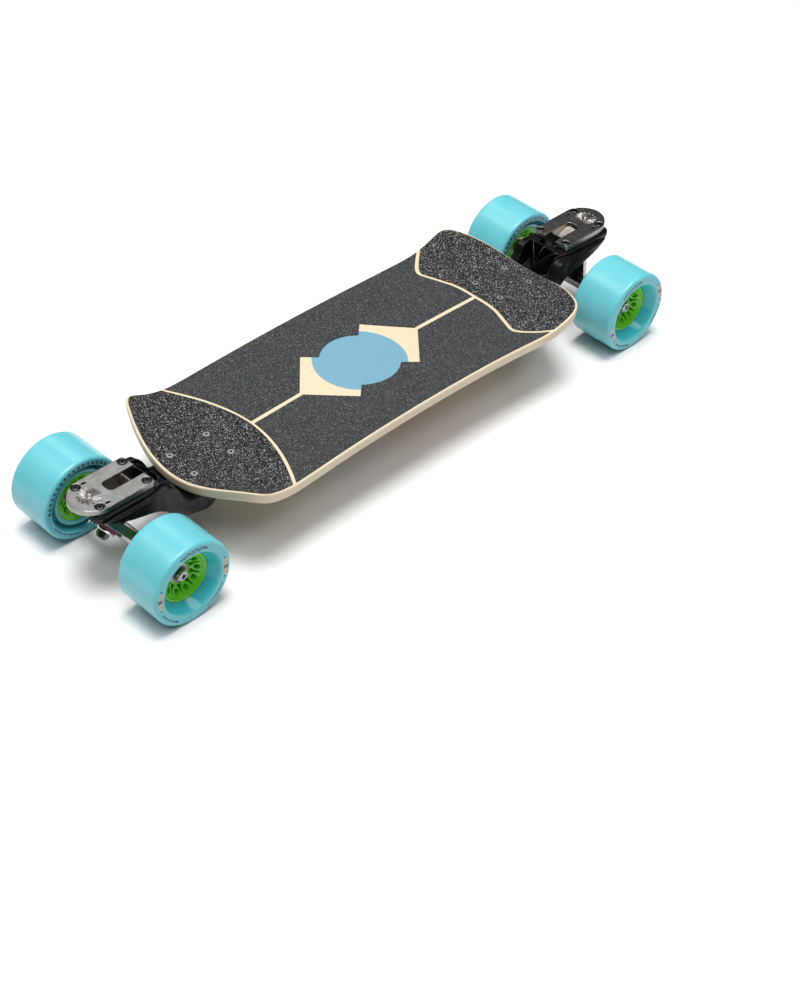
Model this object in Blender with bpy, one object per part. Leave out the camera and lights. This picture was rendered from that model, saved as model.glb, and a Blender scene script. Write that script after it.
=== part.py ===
"""Drop-through longboard: cambered deck, two moulded brackets, two trucks and four wheels.

Metres, +Z up, +X towards the nose, +Y to the board's left. The wheels stand on z = 0 and the origin
is under the middle of the board. Lengths below are in millimetres and are scaled once by MM.
"""
import math

import bmesh
import bpy
import numpy as np
from mathutils import Matrix, Vector

MM = 0.001

# ---- driving dimensions, in millimetres ----
AXLE_X = 362.0            # axle to the middle of the board
WHEEL_R = 52.5
WHEEL_IN = 61.3           # wheel's inner face, from the centre plane
WHEEL_OUT = 123.3         # wheel's outer face
GAP = 0.3                 # running gap between pieces that touch
DECK_T = 14.0
DECK_Z0 = 93.5            # top of the deck, on the centre line at mid length
CAMBER = 5.1              # drop of the centre line at the deck bolts' middle
DECK_BOLT_X = (218.5, 271.5)
BOLT_Y = 20.6
GRIP_T = 1.0
GRIP_GAP = 0.3
BASE_TOP = 117.0
FLANGE_T = 6.7
TRUCK_BOLT_X = (336.4, 399.9)
STEER_DEG = 50.0          # steering axis above the horizontal
PIN_S = 16.0              # kingpin line, along the steering axis from the axle
PIVOT_K = -5.0            # steering axis, along the kingpin from the axle
TUBE_R = 9.5
TUBE_Y = 75.4             # hanger's shoulder, from the centre plane
AXLE_R = 4.0
BEARING_R = 11.0
BEARING_W = 7.0
BEARING_IN = 76.2         # inner bearing's inner face
BEARING_OUT = 93.4        # outer bearing's inner face

SA = math.radians(STEER_DEG)
S_DIR = (math.cos(SA), math.sin(SA))       # outboard, up: from the axle towards the pivot
K_DIR = (math.sin(SA), -math.cos(SA))      # outboard, down: from the kingpin's head towards its nut

# half outline of the deck's top edge, tail tip to nose tip
OUTLINE = [
    (-290.5, 0.0), (-289.6, 20.0), (-287.4, 38.0), (-282.8, 58.0), (-276.0, 78.0), (-268.5, 94.5),
    (-262.4, 106.0), (-255.0, 113.4), (-246.0, 116.0), (-235.0, 115.6), (-219.0, 114.2), (-200.0, 112.9),
    (-170.0, 112.0), (-108.0, 111.2), (0.0, 110.8), (100.0, 111.2), (165.0, 112.8), (198.0, 114.4),
    (220.0, 115.6), (238.0, 116.1), (249.8, 114.9), (258.2, 109.8), (265.4, 100.6), (274.0, 84.8),
    (283.0, 64.8), (289.4, 45.0), (293.6, 22.0), (295.0, 0.0),
]
TAIL_CORNER, NOSE_CORNER = 7.0, 21.0
MID_CUT_NOSE = [(0, 193.7), (14, 193.6), (27, 192.6), (38, 190.2), (47, 186.8), (60, 181.8), (70, 178.0), (76, 176.0),
                (80, 176.1), (84, 177.8), (88, 180.6), (95, 187.4), (104, 197.6), (113, 208.6), (120, 216.0)]
PAD_CUT_NOSE = [(0, 199.0), (14, 198.9), (27, 198.0), (38, 195.6), (47, 192.3), (60, 187.3), (70, 183.4), (75, 181.5),
                (79, 181.7), (83, 183.5), (88, 187.3), (95, 194.4), (104, 204.4), (113, 215.0), (120, 222.0)]


# ---------------------------------------------------------------- materials
def material(name, rgb, metallic, rough, coat=0.0):
    m = bpy.data.materials.new(name)
    m.use_nodes = True
    p = m.node_tree.nodes["Principled BSDF"]
    p.inputs["Base Color"].default_value = (*rgb, 1.0)
    p.inputs["Metallic"].default_value = metallic
    p.inputs["Roughness"].default_value = rough
    p.inputs["Coat Weight"].default_value = coat
    return m


# ---------------------------------------------------------------- mesh helpers
def clear():
    for o in list(bpy.data.objects):
        bpy.data.objects.remove(o, do_unlink=True)
    for block in (bpy.data.meshes, bpy.data.materials, bpy.data.curves):
        for b in list(block):
            block.remove(b)


def mesh_object(name, verts, faces, mat=None):
    me = bpy.data.meshes.new(name)
    me.from_pydata([tuple(c * MM for c in v) for v in verts], [], faces)
    me.update()
    bm = bmesh.new()
    bm.from_mesh(me)
    bmesh.ops.remove_doubles(bm, verts=bm.verts, dist=1e-6)
    bmesh.ops.recalc_face_normals(bm, faces=bm.faces)
    bm.to_mesh(me)
    bm.free()
    o = bpy.data.objects.new(name, me)
    bpy.context.scene.collection.objects.link(o)
    if mat is not None:
        me.materials.append(mat)
    return o


def boolean(o, cutter, op="DIFFERENCE", flat=0.0002):
    """Applies one exact boolean and removes its cutter; faces within the angle flat are joined."""
    cutter.hide_render = True
    cutter.display_type = "WIRE"
    m = o.modifiers.new("cut", "BOOLEAN")
    m.solver = "EXACT"
    m.operation = op
    m.object = cutter
    bpy.context.view_layer.update()
    dg = bpy.context.evaluated_depsgraph_get()
    me = bpy.data.meshes.new_from_object(o.evaluated_get(dg))
    o.modifiers.clear()
    old = o.data
    keep = [s for s in old.materials]
    o.data = me
    me.materials.clear()
    for s in keep:
        me.materials.append(s)
    for p in me.polygons:
        p.material_index = 0
    name = o.name
    bpy.data.meshes.remove(old)
    me.name = name
    cm = cutter.data
    bpy.data.objects.remove(cutter, do_unlink=True)
    bpy.data.meshes.remove(cm)
    bm = bmesh.new()
    bm.from_mesh(me)
    bmesh.ops.remove_doubles(bm, verts=bm.verts, dist=2e-6)
    bmesh.ops.dissolve_limit(bm, angle_limit=flat, verts=bm.verts, edges=bm.edges)
    bmesh.ops.triangulate(bm, faces=[f for f in bm.faces if len(f.verts) > 4])
    bm.to_mesh(me)
    bm.free()
    return o


def prism(name, poly, lo, hi, plane, mat=None):
    """Extrudes a polygon. plane 'xy' runs along z, 'xz' along y, 'yz' along x; lo and hi may be functions of the point."""
    def at(p, t):
        if plane == "xy":
            return (p[0], p[1], t)
        if plane == "xz":
            return (p[0], t, p[1])
        return (t, p[0], p[1])
    n = len(poly)
    a = [at(p, lo(p) if callable(lo) else lo) for p in poly]
    b = [at(p, hi(p) if callable(hi) else hi) for p in poly]
    faces = [tuple(range(n))[::-1], tuple(range(n, 2 * n))]
    faces += [(i, (i + 1) % n, n + (i + 1) % n, n + i) for i in range(n)]
    return mesh_object(name, a + b, faces, mat)


def sections(name, rows, profile):
    """Lofts an xz profile through rows of (y, lift or None); a lift raises each point of that row."""
    k = len(profile)
    verts, faces = [], []
    for y, lift in rows:
        for i, (x, z) in enumerate(profile):
            verts.append((x, y, z + (lift[i] if lift else 0.0)))
    for r in range(len(rows) - 1):
        for i in range(k):
            j = (i + 1) % k
            faces.append((r * k + i, r * k + j, (r + 1) * k + j, (r + 1) * k + i))
    m = (len(rows) - 1) * k
    faces += [tuple(range(k))[::-1], tuple(range(m, m + k))]
    return mesh_object(name, verts, faces)


def hull(name, points, mat=None):
    bm = bmesh.new()
    for p in points:
        bm.verts.new(tuple(c * MM for c in p))
    res = bmesh.ops.convex_hull(bm, input=bm.verts)
    drop = {g for g in res["geom_interior"] + res["geom_unused"] if isinstance(g, bmesh.types.BMVert) and g.is_valid}
    bmesh.ops.delete(bm, geom=sorted(drop, key=lambda g: g.index), context="VERTS")
    bmesh.ops.recalc_face_normals(bm, faces=bm.faces)
    me = bpy.data.meshes.new(name)
    bm.to_mesh(me)
    bm.free()
    o = bpy.data.objects.new(name, me)
    bpy.context.scene.collection.objects.link(o)
    if mat is not None:
        me.materials.append(mat)
    return o


def basis(d):
    d = Vector(d).normalized()
    a = Vector((0, 1, 0)) if abs(d.y) < 0.9 else Vector((1, 0, 0))
    u = a.cross(d).normalized()
    return u, d.cross(u), d


def turned(name, profile, origin, axis, n, mat=None, closed=False, phase=0.0):
    """Turns a profile of (distance along the axis, radius) round the axis. closed makes a ring with a bore."""
    u, v, d = basis(axis)
    o = Vector(origin)
    verts, rings = [], []
    for t, r in profile:
        if r <= 1e-9:
            rings.append([len(verts)])
            verts.append(tuple(o + d * t))
            continue
        ring = []
        for i in range(n):
            a = 2 * math.pi * (i + phase) / n
            ring.append(len(verts))
            verts.append(tuple(o + d * t + (u * math.cos(a) + v * math.sin(a)) * r))
        rings.append(ring)
    faces = []
    pairs = list(zip(rings, rings[1:]))
    if closed:
        pairs.append((rings[-1], rings[0]))
    for a, b in pairs:
        if len(a) == 1 and len(b) == 1:
            continue
        for i in range(n):
            j = (i + 1) % n
            if len(a) == 1:
                faces.append((a[0], b[j], b[i]))
            elif len(b) == 1:
                faces.append((a[i], a[j], b[0]))
            else:
                faces.append((a[i], a[j], b[j], b[i]))
    if not closed:
        if len(rings[0]) > 1:
            faces.append(tuple(rings[0])[::-1])
        if len(rings[-1]) > 1:
            faces.append(tuple(rings[-1]))
    return mesh_object(name, verts, faces, mat)


def cylinder(name, origin, axis, t0, t1, r, n=16, mat=None, phase=0.0):
    return turned(name, [(t0, r), (t1, r)], origin, axis, n, mat, phase=phase)


# ---------------------------------------------------------------- deck surface
def spline(points, t):
    """Catmull-Rom through points; t counts from point to point."""
    k = min(max(int(math.floor(t)), 0), len(points) - 2)
    f = t - k
    p = [np.array(points[min(max(k + j, 0), len(points) - 1)], float) for j in (-1, 0, 1, 2)]
    if k == 0:
        p[0] = np.array([points[1][0], -points[1][1]], float)
    if k == len(points) - 2:
        p[3] = np.array([points[-2][0], -points[-2][1]], float)
    return 0.5 * (2 * p[1] + (p[2] - p[0]) * f + (2 * p[0] - 5 * p[1] + 4 * p[2] - p[3]) * f * f
                  + (3 * p[1] - p[0] - 3 * p[2] + p[3]) * f ** 3)


def edge_point(t, inset=0.0, side=1):
    """Point of the outline; t 0 is the tail tip and 27 the nose tip, side is 1 for left and -1 for right."""
    a = spline(OUTLINE, t)
    if inset:
        h = 1e-3
        q0, q1 = spline(OUTLINE, max(t - h, 0.0)), spline(OUTLINE, min(t + h, len(OUTLINE) - 1.0))
        d = q1 - q0
        if t <= h:
            d = np.array([0.0, 1.0])
        if t >= len(OUTLINE) - 1 - h:
            d = np.array([0.0, -1.0])
        d = d / np.hypot(*d)
        a = a + inset * np.array([d[1], -d[0]])
    return np.array([a[0], a[1] * side])


def deck_top(x, y):
    """Height of the deck's top: camber along, concave across, corners that flare up at both ends."""
    w = min(abs(y) / 114.0, 1.04)
    z = DECK_Z0 - CAMBER * (x / 245.0) ** 2
    c = max(2.0, 5.0 - 3.0 * (x / 175.0) ** 2)
    z += c * w * w
    if x < -190.0:
        z += 44.0 * ((-x - 190.0) / 100.0 * w) ** 2
    if x > 190.0:
        z += 44.0 * ((x - 190.0) / 100.0 * w) ** 2
    return z


def coons(bottom, top, left, right):
    """Fills a grid between four edges: bottom and top run along u, left and right along v."""
    nu, nv = len(bottom), len(left)
    g = np.zeros((nu, nv, 2))
    for i in range(nu):
        for j in range(nv):
            u, v = i / (nu - 1), j / (nv - 1)
            g[i, j] = ((1 - v) * bottom[i] + v * top[i] + (1 - u) * left[j] + u * right[j]
                       - (1 - u) * (1 - v) * bottom[0] - u * (1 - v) * bottom[-1]
                       - (1 - u) * v * top[0] - u * v * top[-1])
    return g


def side_params(n):
    """Parameters from the tail corner to the nose corner, closer together near the ends."""
    s = np.linspace(0, 1, 400)
    t = TAIL_CORNER + (NOSE_CORNER - TAIL_CORNER) * s
    p = np.array([edge_point(k) for k in t])
    d = np.r_[0, np.cumsum(np.hypot(*np.diff(p, axis=0).T))]
    d /= d[-1]
    want = np.linspace(0, 1, n + 1)
    want = want - 0.075 * np.sin(2 * np.pi * want) / 1.2
    return np.interp(want, d, t)


def end_params(corner, tip, n):
    s = np.linspace(0, 1, 200)
    t = corner + (tip - corner) * s
    p = np.array([edge_point(k) for k in t])
    d = np.r_[0, np.cumsum(np.hypot(*np.diff(p, axis=0).T))]
    return np.interp(np.linspace(0, d[-1], n + 1), d, t)


def boundary(inset, nside, nend):
    """Four edges of the deck at an inset: left and right sides tail to nose, tail and nose ends right to left."""
    ts = side_params(nside)
    tt = end_params(TAIL_CORNER, 0.0, nend // 2)
    tn = end_params(NOSE_CORNER, float(len(OUTLINE) - 1), nend // 2)
    left = [edge_point(t, inset, 1) for t in ts]
    right = [edge_point(t, inset, -1) for t in ts]
    tail = [edge_point(t, inset, -1) for t in tt] + [edge_point(t, inset, 1) for t in tt[::-1][1:]]
    nose = [edge_point(t, inset, -1) for t in tn] + [edge_point(t, inset, 1) for t in tn[::-1][1:]]
    return left, right, tail, nose


NSIDE, NEND = 26, 10


def loop_of(edges):
    left, right, tail, nose = edges
    return list(right) + list(nose[1:]) + list(left[::-1][1:]) + list(tail[::-1][1:-1])


def deck_grid(inset):
    """Plan points of the deck's top at an inset, tail to nose by right to left."""
    left, right, tail, nose = boundary(inset, NSIDE, NEND)
    return coons(right, left, tail, nose)


def grid_triangles(nu, nv, index):
    """Two triangles to a cell; the diagonals mirror about the middle line."""
    faces = []
    for i in range(nu - 1):
        for j in range(nv - 1):
            a, b, c, d = index(i, j), index(i + 1, j), index(i + 1, j + 1), index(i, j + 1)
            if (j < (nv - 1) // 2) == (i < (nu - 1) // 2):
                faces += [(a, b, c), (a, c, d)]
            else:
                faces += [(a, b, d), (b, c, d)]
    return faces


def deck(mat):
    # rail section: inset from the outline and depth below the top
    rail = [(2.4, 0.0), (0.0, 2.0), (0.0, 8.6), (1.5, 12.2), (5.0, DECK_T)]
    verts, faces, rings = [], [], []
    for inset, drop in rail:
        ring = []
        for p in loop_of(boundary(inset, NSIDE, NEND)):
            ring.append(len(verts))
            verts.append((p[0], p[1], deck_top(p[0], p[1]) - drop))
        rings.append(ring)
    n = len(rings[0])
    for a, b in zip(rings, rings[1:]):
        faces += [(a[i], a[(i + 1) % n], b[(i + 1) % n], b[i]) for i in range(n)]
    for (inset, drop), ring in ((rail[0], rings[0]), (rail[-1], rings[-1])):
        g = deck_grid(inset)
        nu, nv = g.shape[:2]
        idx = {}
        for i in range(nu):
            for j in range(nv):
                if j == 0:
                    k = ring[i]
                elif i == nu - 1:
                    k = ring[nu - 1 + j]
                elif j == nv - 1:
                    k = ring[nu - 1 + nv - 1 + (nu - 1 - i)]
                elif i == 0:
                    k = ring[2 * (nu - 1) + (nv - 1) + (nv - 1 - j)]
                else:
                    k = len(verts)
                    x, y = g[i, j]
                    verts.append((x, y, deck_top(x, y) - drop))
                idx[i, j] = k
        faces += grid_triangles(nu, nv, lambda i, j: idx[i, j])
    o = mesh_object("deck", verts, faces, mat)
    for sx in (-1, 1):
        for bx in DECK_BOLT_X:
            for sy in (-1, 1):
                x, y = sx * bx, sy * BOLT_Y
                z = deck_top(x, y)
                boolean(o, turned("c", [(z - 20, 2.8), (z - 2.9, 2.8), (z - 0.6, 4.3), (z + 4, 4.3)], (x, y, 0), (0, 0, 1), 10))
    return o


RAIL_MARGIN = 2.9


def sheet(name, outline, mat):
    """Thin sheet on the deck's top, parallel to its facets, inside a plan outline and the rail margin."""
    g = deck_grid(RAIL_MARGIN)
    inner = deck_grid(2.4)
    g[1:-1, 1:-1] = inner[1:-1, 1:-1]
    nu, nv = g.shape[:2]
    m = nu * nv
    verts = []
    for dz in (GRIP_GAP, GRIP_GAP + GRIP_T):
        for i in range(nu):
            for j in range(nv):
                x, y = g[i, j]
                verts.append((x, y, deck_top(x, y) + dz))
    low = grid_triangles(nu, nv, lambda i, j: i * nv + j)
    faces = low + [tuple(m + k for k in f[::-1]) for f in low]
    rim = ([i * nv for i in range(nu)] + [(nu - 1) * nv + j for j in range(1, nv)]
           + [i * nv + nv - 1 for i in range(nu - 2, -1, -1)] + [j for j in range(nv - 2, 0, -1)])
    for a, b in zip(rim, rim[1:] + rim[:1]):
        faces.append((a, b, m + b, m + a))
    o = mesh_object(name, verts, faces, mat)
    boolean(o, prism("c", outline, 40.0, 200.0, "xy"), "INTERSECT")
    return o


def tail_arc(y, pad):
    a = abs(y) / 112.0
    return -(171.0 if pad else 167.5) - 36.8 * a ** 1.9 - (1.5 * a if pad else 0.0)


def nose_arc(y, pad):
    table = PAD_CUT_NOSE if pad else MID_CUT_NOSE
    return float(np.interp(abs(y), [p[0] for p in table], [p[1] for p in table]))


def pad(name, mat, nose):
    """Coarse grip sheet of one end, between the arc and the end of the deck."""
    if nose:
        cut = [(x, y) for y, x in PAD_CUT_NOSE]
        far = 330.0
    else:
        cut = [(tail_arc(y, True), y) for y in np.linspace(0.0, 122.0, 9)]
        far = -330.0
    poly = [(far, -122.0 * (1 if nose else 1))] + [(x, -y) for x, y in cut[:0:-1]] + cut + [(far, 122.0)]
    o = sheet(name, poly, mat)
    sx = 1 if nose else -1
    for bx in DECK_BOLT_X:
        for sy in (-1, 1):
            x, y = sx * bx, sy * BOLT_Y
            z = deck_top(x, y)
            boolean(o, cylinder("c", (x, y, 0), (0, 0, 1), z - 3, z + 5, 4.3, 10))
    return o


def middle(name, mat, side):
    """Fine grip sheet of one half: leaves bare a strip along the middle, two corner squares and a disc."""
    q = [(48.0 * math.cos(math.radians(a)), 48.0 * math.sin(math.radians(a))) for a in (48.19, 58.0, 68.0, 79.0, 90.0)]
    half = [(240.0, 3.0), (93.16, 3.0), (48.3, 50.5)] + [(x, y) for x, y in q]
    inner = half + [(-x, y) for x, y in half[-2::-1]]
    nose = [(x, y) for y, x in MID_CUT_NOSE]
    nose[0] = (nose[0][0], 3.0)
    inner[0] = (nose_arc(3.0, False), 3.0)
    inner[-1] = (tail_arc(3.0, False), 3.0)
    tail = [(tail_arc(y, False), y) for y in np.linspace(3.0, 122.0, 9)]
    poly = nose[1:] + tail[::-1] + inner[-2::-1]
    poly = [(x, y * side) for x, y in poly]
    return sheet(name, poly, mat)


# ---------------------------------------------------------------- truck frame
def tp(o, y, z):
    """Truck point: o outboard of the axle, y across, z up."""
    return (AXLE_X + o, y, z)


def sk(s, k, y=0.0):
    """Truck point from distances along the steering axis and along the kingpin."""
    return tp(S_DIR[0] * s + K_DIR[0] * k, y, WHEEL_R + S_DIR[1] * s + K_DIR[1] * k)


AXLE_PT = tp(0.0, 0.0, WHEEL_R)
S3 = (S_DIR[0], 0.0, S_DIR[1])
K3 = (K_DIR[0], 0.0, K_DIR[1])
PIN_PT = sk(PIN_S, 0.0)
PIVOT_PT = sk(0.0, PIVOT_K)


def disc_points(origin, axis, t, r, n=16):
    u, v, d = basis(axis)
    o = Vector(origin) + d * t
    return [tuple(o + (u * math.cos(2 * math.pi * i / n) + v * math.sin(2 * math.pi * i / n)) * r) for i in range(n)]


def join(o, cutter, op="DIFFERENCE"):
    return boolean(o, cutter, op, 0.003)


def bracket(name, mat):
    """Forked plate under the deck, neck and two prongs that carry the truck's baseplate."""
    def pad_z(x):
        return 75.93 - 0.042 * (x - 205.0) - 0.35

    half = [(309.0, 0.0), (308.3, 8.0), (305.5, 15.5), (300.0, 23.5), (290.0, 31.5), (280.0, 37.3), (271.0, 39.6), (261.0, 37.8),
            (245.0, 31.6), (231.0, 27.4), (225.0, 27.2), (221.5, 28.6), (217.0, 31.0), (211.0, 29.6), (206.6, 25.4), (205.4, 20.4),
            (206.6, 15.4), (211.0, 11.2), (217.0, 9.9), (223.0, 10.2), (248.0, 10.2), (254.0, 8.2), (257.6, 4.2), (258.4, 0.0)]
    poly = half + [(x, -y) for x, y in half[-2:0:-1]]
    o = prism(name, poly, 49.5, lambda p: pad_z(p[0]), "xy", mat)
    # the arms rise towards their ends
    join(o, prism("c", [(190.0, 40.0), (262.0, 40.0), (262.0, 49.4), (250.0, 50.4), (226.0, 57.0), (190.0, 61.2)], -60, 60, "xz"))
    # neck and prongs share one side profile; its lower edges are rounded off
    profile = [(262.0, 49.6), (298.0, 49.6), (306.6, 51.6), (312.0, 59.0), (319.0, 67.2), (331.0, 75.0), (344.0, 79.4), (358.0, 82.8),
               (372.0, 86.8), (390.0, 95.0), (404.0, 101.2), (414.0, 105.0), (416.0, 107.2), (416.0, 110.0), (319.6, 110.0),
               (316.6, 108.2), (309.0, 99.2), (302.0, 91.2), (296.4, 84.6), (296.0, 78.0), (295.0, 74.6), (293.2, pad_z(293.2) - 0.2), (262.0, pad_z(262.0) - 0.2)]
    lift = [0.0, 0.0, 4.0, 9.0, 11.5, 11.5, 11.5, 11.5, 10.5, 7.0, 3.0, 2.0, 0.0] + [0.0] * 10
    body = sections("n", [(-44.0, lift), (-30.0, None), (30.0, None), (44.0, lift)], profile)
    pts = []
    for sy in (-1, 1):
        pts += [(261.0, sy * 37.2, 44.0), (266.0, sy * 39.0, 44.0), (280.0, sy * 36.6, 44.0), (290.0, sy * 30.8, 44.0), (300.0, sy * 22.8, 44.0), (307.6, sy * 12.0, 44.0),
                (261.0, sy * 37.2, 114.0), (293.4, sy * 35.0, 114.0), (333.0, sy * 35.6, 114.0), (333.0, sy * 35.2, 79.5), (333.0, sy * 30.0, 70.0), (301.0, sy * 33.0, 61.4)]
    extent = hull("e", pts)
    plan = [(317.0, 35.2), (372.0, 36.4), (392.0, 34.8), (404.0, 31.4), (411.0, 26.4), (413.6, 20.5), (411.4, 16.2), (406.0, 14.0)]
    plan = plan + [(x, -y) for x, y in plan[::-1]]
    join(extent, prism("c", plan, 66.0, 118.0, "xy"), "UNION")
    join(body, extent, "INTERSECT")
    join(o, body, "UNION")
    # window between the prongs, open outboard
    win = [(328.4, -11.0), (331.0, -13.6), (430.0, -13.6), (430.0, 13.6), (331.0, 13.6), (328.4, 11.0)]
    join(o, prism("c", win, 30, 130, "xy"))
    for sy in (-1, 1):
        # relief on each prong's inner lower edge, for the hanger's yoke at full steering
        join(o, prism("c", [(sy * 13.0, 96.5), (sy * 20.5, 85.0), (sy * 13.0, 85.0)], 370.0, 389.0, "yz"))
        # two ledges along the outside of each prong
        for y0, pl in ((31.4, [(322.0, 98.4), (338.0, 98.4), (420.0, 111.4), (420.0, 125.0), (318.0, 125.0), (318.0, 106.0)]),
                       (34.2, [(328.0, 92.0), (344.0, 92.2), (420.0, 105.0), (420.0, 125.0), (320.0, 125.0), (320.0, 104.0)])):
            join(o, prism("c", pl, sy * y0, sy * 60.0, "xz"))
    # open-topped hollow above the neck, between its side walls
    low = [(300.4, 78.4), (306.0, 73.4), (315.0, 74.8), (326.4, 82.4), (326.4, 140.0), (300.4, 140.0)]
    cut = prism("c", low, -60, 60, "xz")
    wall = [(298.0, 23.6), (303.0, 23.0), (309.0, 20.8), (315.0, 21.2), (320.0, 24.4), (328.0, 26.0)]
    join(cut, prism("c", wall + [(x, -y) for x, y in wall[::-1]], 40, 150, "xy"), "INTERSECT")
    join(o, cut)
    # thin beam across its top and two ribs that spread from the middle
    join(o, prism("b", [(316.6, 103.2), (319.4, 103.8), (319.6, 109.4), (317.0, 109.0)], -27.0, 27.0, "xz"), "UNION")
    for sy in (-1, 1):
        # sloping shoulder above the neck's side wall
        join(o, prism("c", [(sy * 21.5, 110.2), (sy * 34.4, 100.6), (sy * 60.0, 100.6), (sy * 60.0, 130.0), (sy * 21.5, 130.0)], 280.0, 327.0, "yz"))
        d = Vector((27.0, 12.0 * sy, 0.0)).normalized()
        side_step = Vector((-d.y, d.x, 0.0)) * 0.8
        a, b = Vector((300.0, 0.6 * sy, 0.0)), Vector((327.4, 12.0 * sy, 0.0))
        plan = [a - side_step, b - side_step, b + side_step, a + side_step]
        join(o, prism("r", [(q.x, q.y) for q in plan], 71.0, lambda q: 88.6 + (q[0] - 300.0) * 0.3, "xy"), "UNION")
    # holes and counterbores
    for bx in DECK_BOLT_X:
        for sy in (-1, 1):
            seat = 57.6 if bx < 240 else 64.0
            top = pad_z(bx)
            r = 6.1 if bx < 240 else 8.4
            low = seat + (2.6 if bx < 240 else 0.0)
            join(o, turned("c", [(30.0, r), (low, r), (low, 2.9), (top + 3, 2.9)], (bx, sy * BOLT_Y, 0), (0, 0, 1), 12))
    for bx in TRUCK_BOLT_X:
        for sy in (-1, 1):
            join(o, turned("c", [(40.0, 6.3), (101.6, 6.3), (101.6, 2.9), (120, 2.9)], (bx, sy * BOLT_Y, 0), (0, 0, 1), 8))
    return o


def baseplate(name, mat):
    z1, z0 = BASE_TOP, BASE_TOP - FLANGE_T
    half = [(422.4, 0.0), (421.2, 7.0), (418.0, 13.6), (412.6, 19.6), (405.8, 24.6), (398.0, 27.2), (390.0, 27.6), (333.0, 27.6), (330.6, 25.4)]
    poly = half + [(x, -y) for x, y in half[:0:-1]]
    o = prism(name, poly, z0, z1 - 1.0, "xy", mat)
    inner = [(x - 0.9 if x > 400 else max(x, 331.4), y - 0.9 if y > 1 else y) for x, y in half]
    inner = inner + [(x, -y) for x, y in inner[:0:-1]]
    # bevelled top edge
    n = len(poly)
    verts = [(x, y, z1 - 1.0) for x, y in poly] + [(x, y, z1) for x, y in inner]
    faces = [tuple(range(n))[::-1], tuple(range(n, 2 * n))] + [(i, (i + 1) % n, n + (i + 1) % n, n + i) for i in range(n)]
    cap = mesh_object("c", verts, faces, None)
    for v in cap.data.vertices:
        if v.co.z < (z1 - 0.9) * MM:
            v.co.z -= 0.5 * MM
    join(o, cap, "UNION")
    # kingpin block
    pts = disc_points(PIN_PT, K3, -20.0, 11.0, 14) + disc_points(PIN_PT, K3, -40.0, 11.6, 14)
    pts += [(332.4, y, z) for y in (-12.2, 12.2) for z in (92.0, z0 + 2.0)] + [(378.0, y, z0 + 2.0) for y in (-12.2, 12.2)]
    pts = [p for p in pts if p[0] > 332.0]
    join(o, hull("c", pts), "UNION")
    # pivot boss
    join(o, hull("c", disc_points(PIVOT_PT, S3, 57.4, 10.6, 14) + disc_points(PIVOT_PT, S3, 73.0, 11.8, 14)
                    + [(x, y, z0 + 2.0) for x in (384.0, 417.0) for y in (-7.5, 7.5)]
                    + [(x, y, z0 + 2.0) for x in (392.0, 409.0) for y in (-12.6, 12.6)]), "UNION")
    join(o, prism("c", [(300, -60), (460, -60), (460, 60), (300, 60)], z1, z1 + 40, "xy"))
    # bore of the pivot boss
    join(o, turned("c", [(50.0, 8.0), (69.0, 8.0), (72.5, 5.0)], PIVOT_PT, S3, 14))
    # kingpin pocket, open at the top and at the inboard end, with one rib across it
    a, b = sk(7.2, -38.0), sk(7.2, -60.0)
    top = sk(34.6, -38.0)
    pocket = [(a[0], a[2]), (top[0], top[2]), (372.0, z0 + 3.4), (372.0, 130.0), (315.0, 130.0), (315.0, b[2] + 8.0), (b[0], b[2])]
    join(o, prism("c", pocket, -9.2, 9.2, "xz"))
    rib = sk(29.0, -38.0)
    join(o, prism("c", [(350.0, 96.0), (352.0, 96.0), (352.0, z1 - 3.0), (350.0, z1 - 3.0)], -9.6, 9.6, "xz"), "UNION")
    join(o, cylinder("c", PIN_PT, K3, -60.0, -10.0, 5.4, 12))
    for bx in TRUCK_BOLT_X:
        for sy in (-1, 1):
            join(o, turned("c", [(90.0, 2.9), (z1 - 2.2, 2.9), (z1 - 2.2, 5.6), (z1 + 3, 5.6)], (bx, sy * BOLT_Y, 0), (0, 0, 1), 12))
    for sy in (-1, 1):
        join(o, prism("c", [(387.0, sy * 19.4), (391.6, sy * 19.4), (391.6, sy * 22.0), (387.0, sy * 22.0)], z1 - 2.4, z1 + 3, "xy"))
    return o


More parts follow.
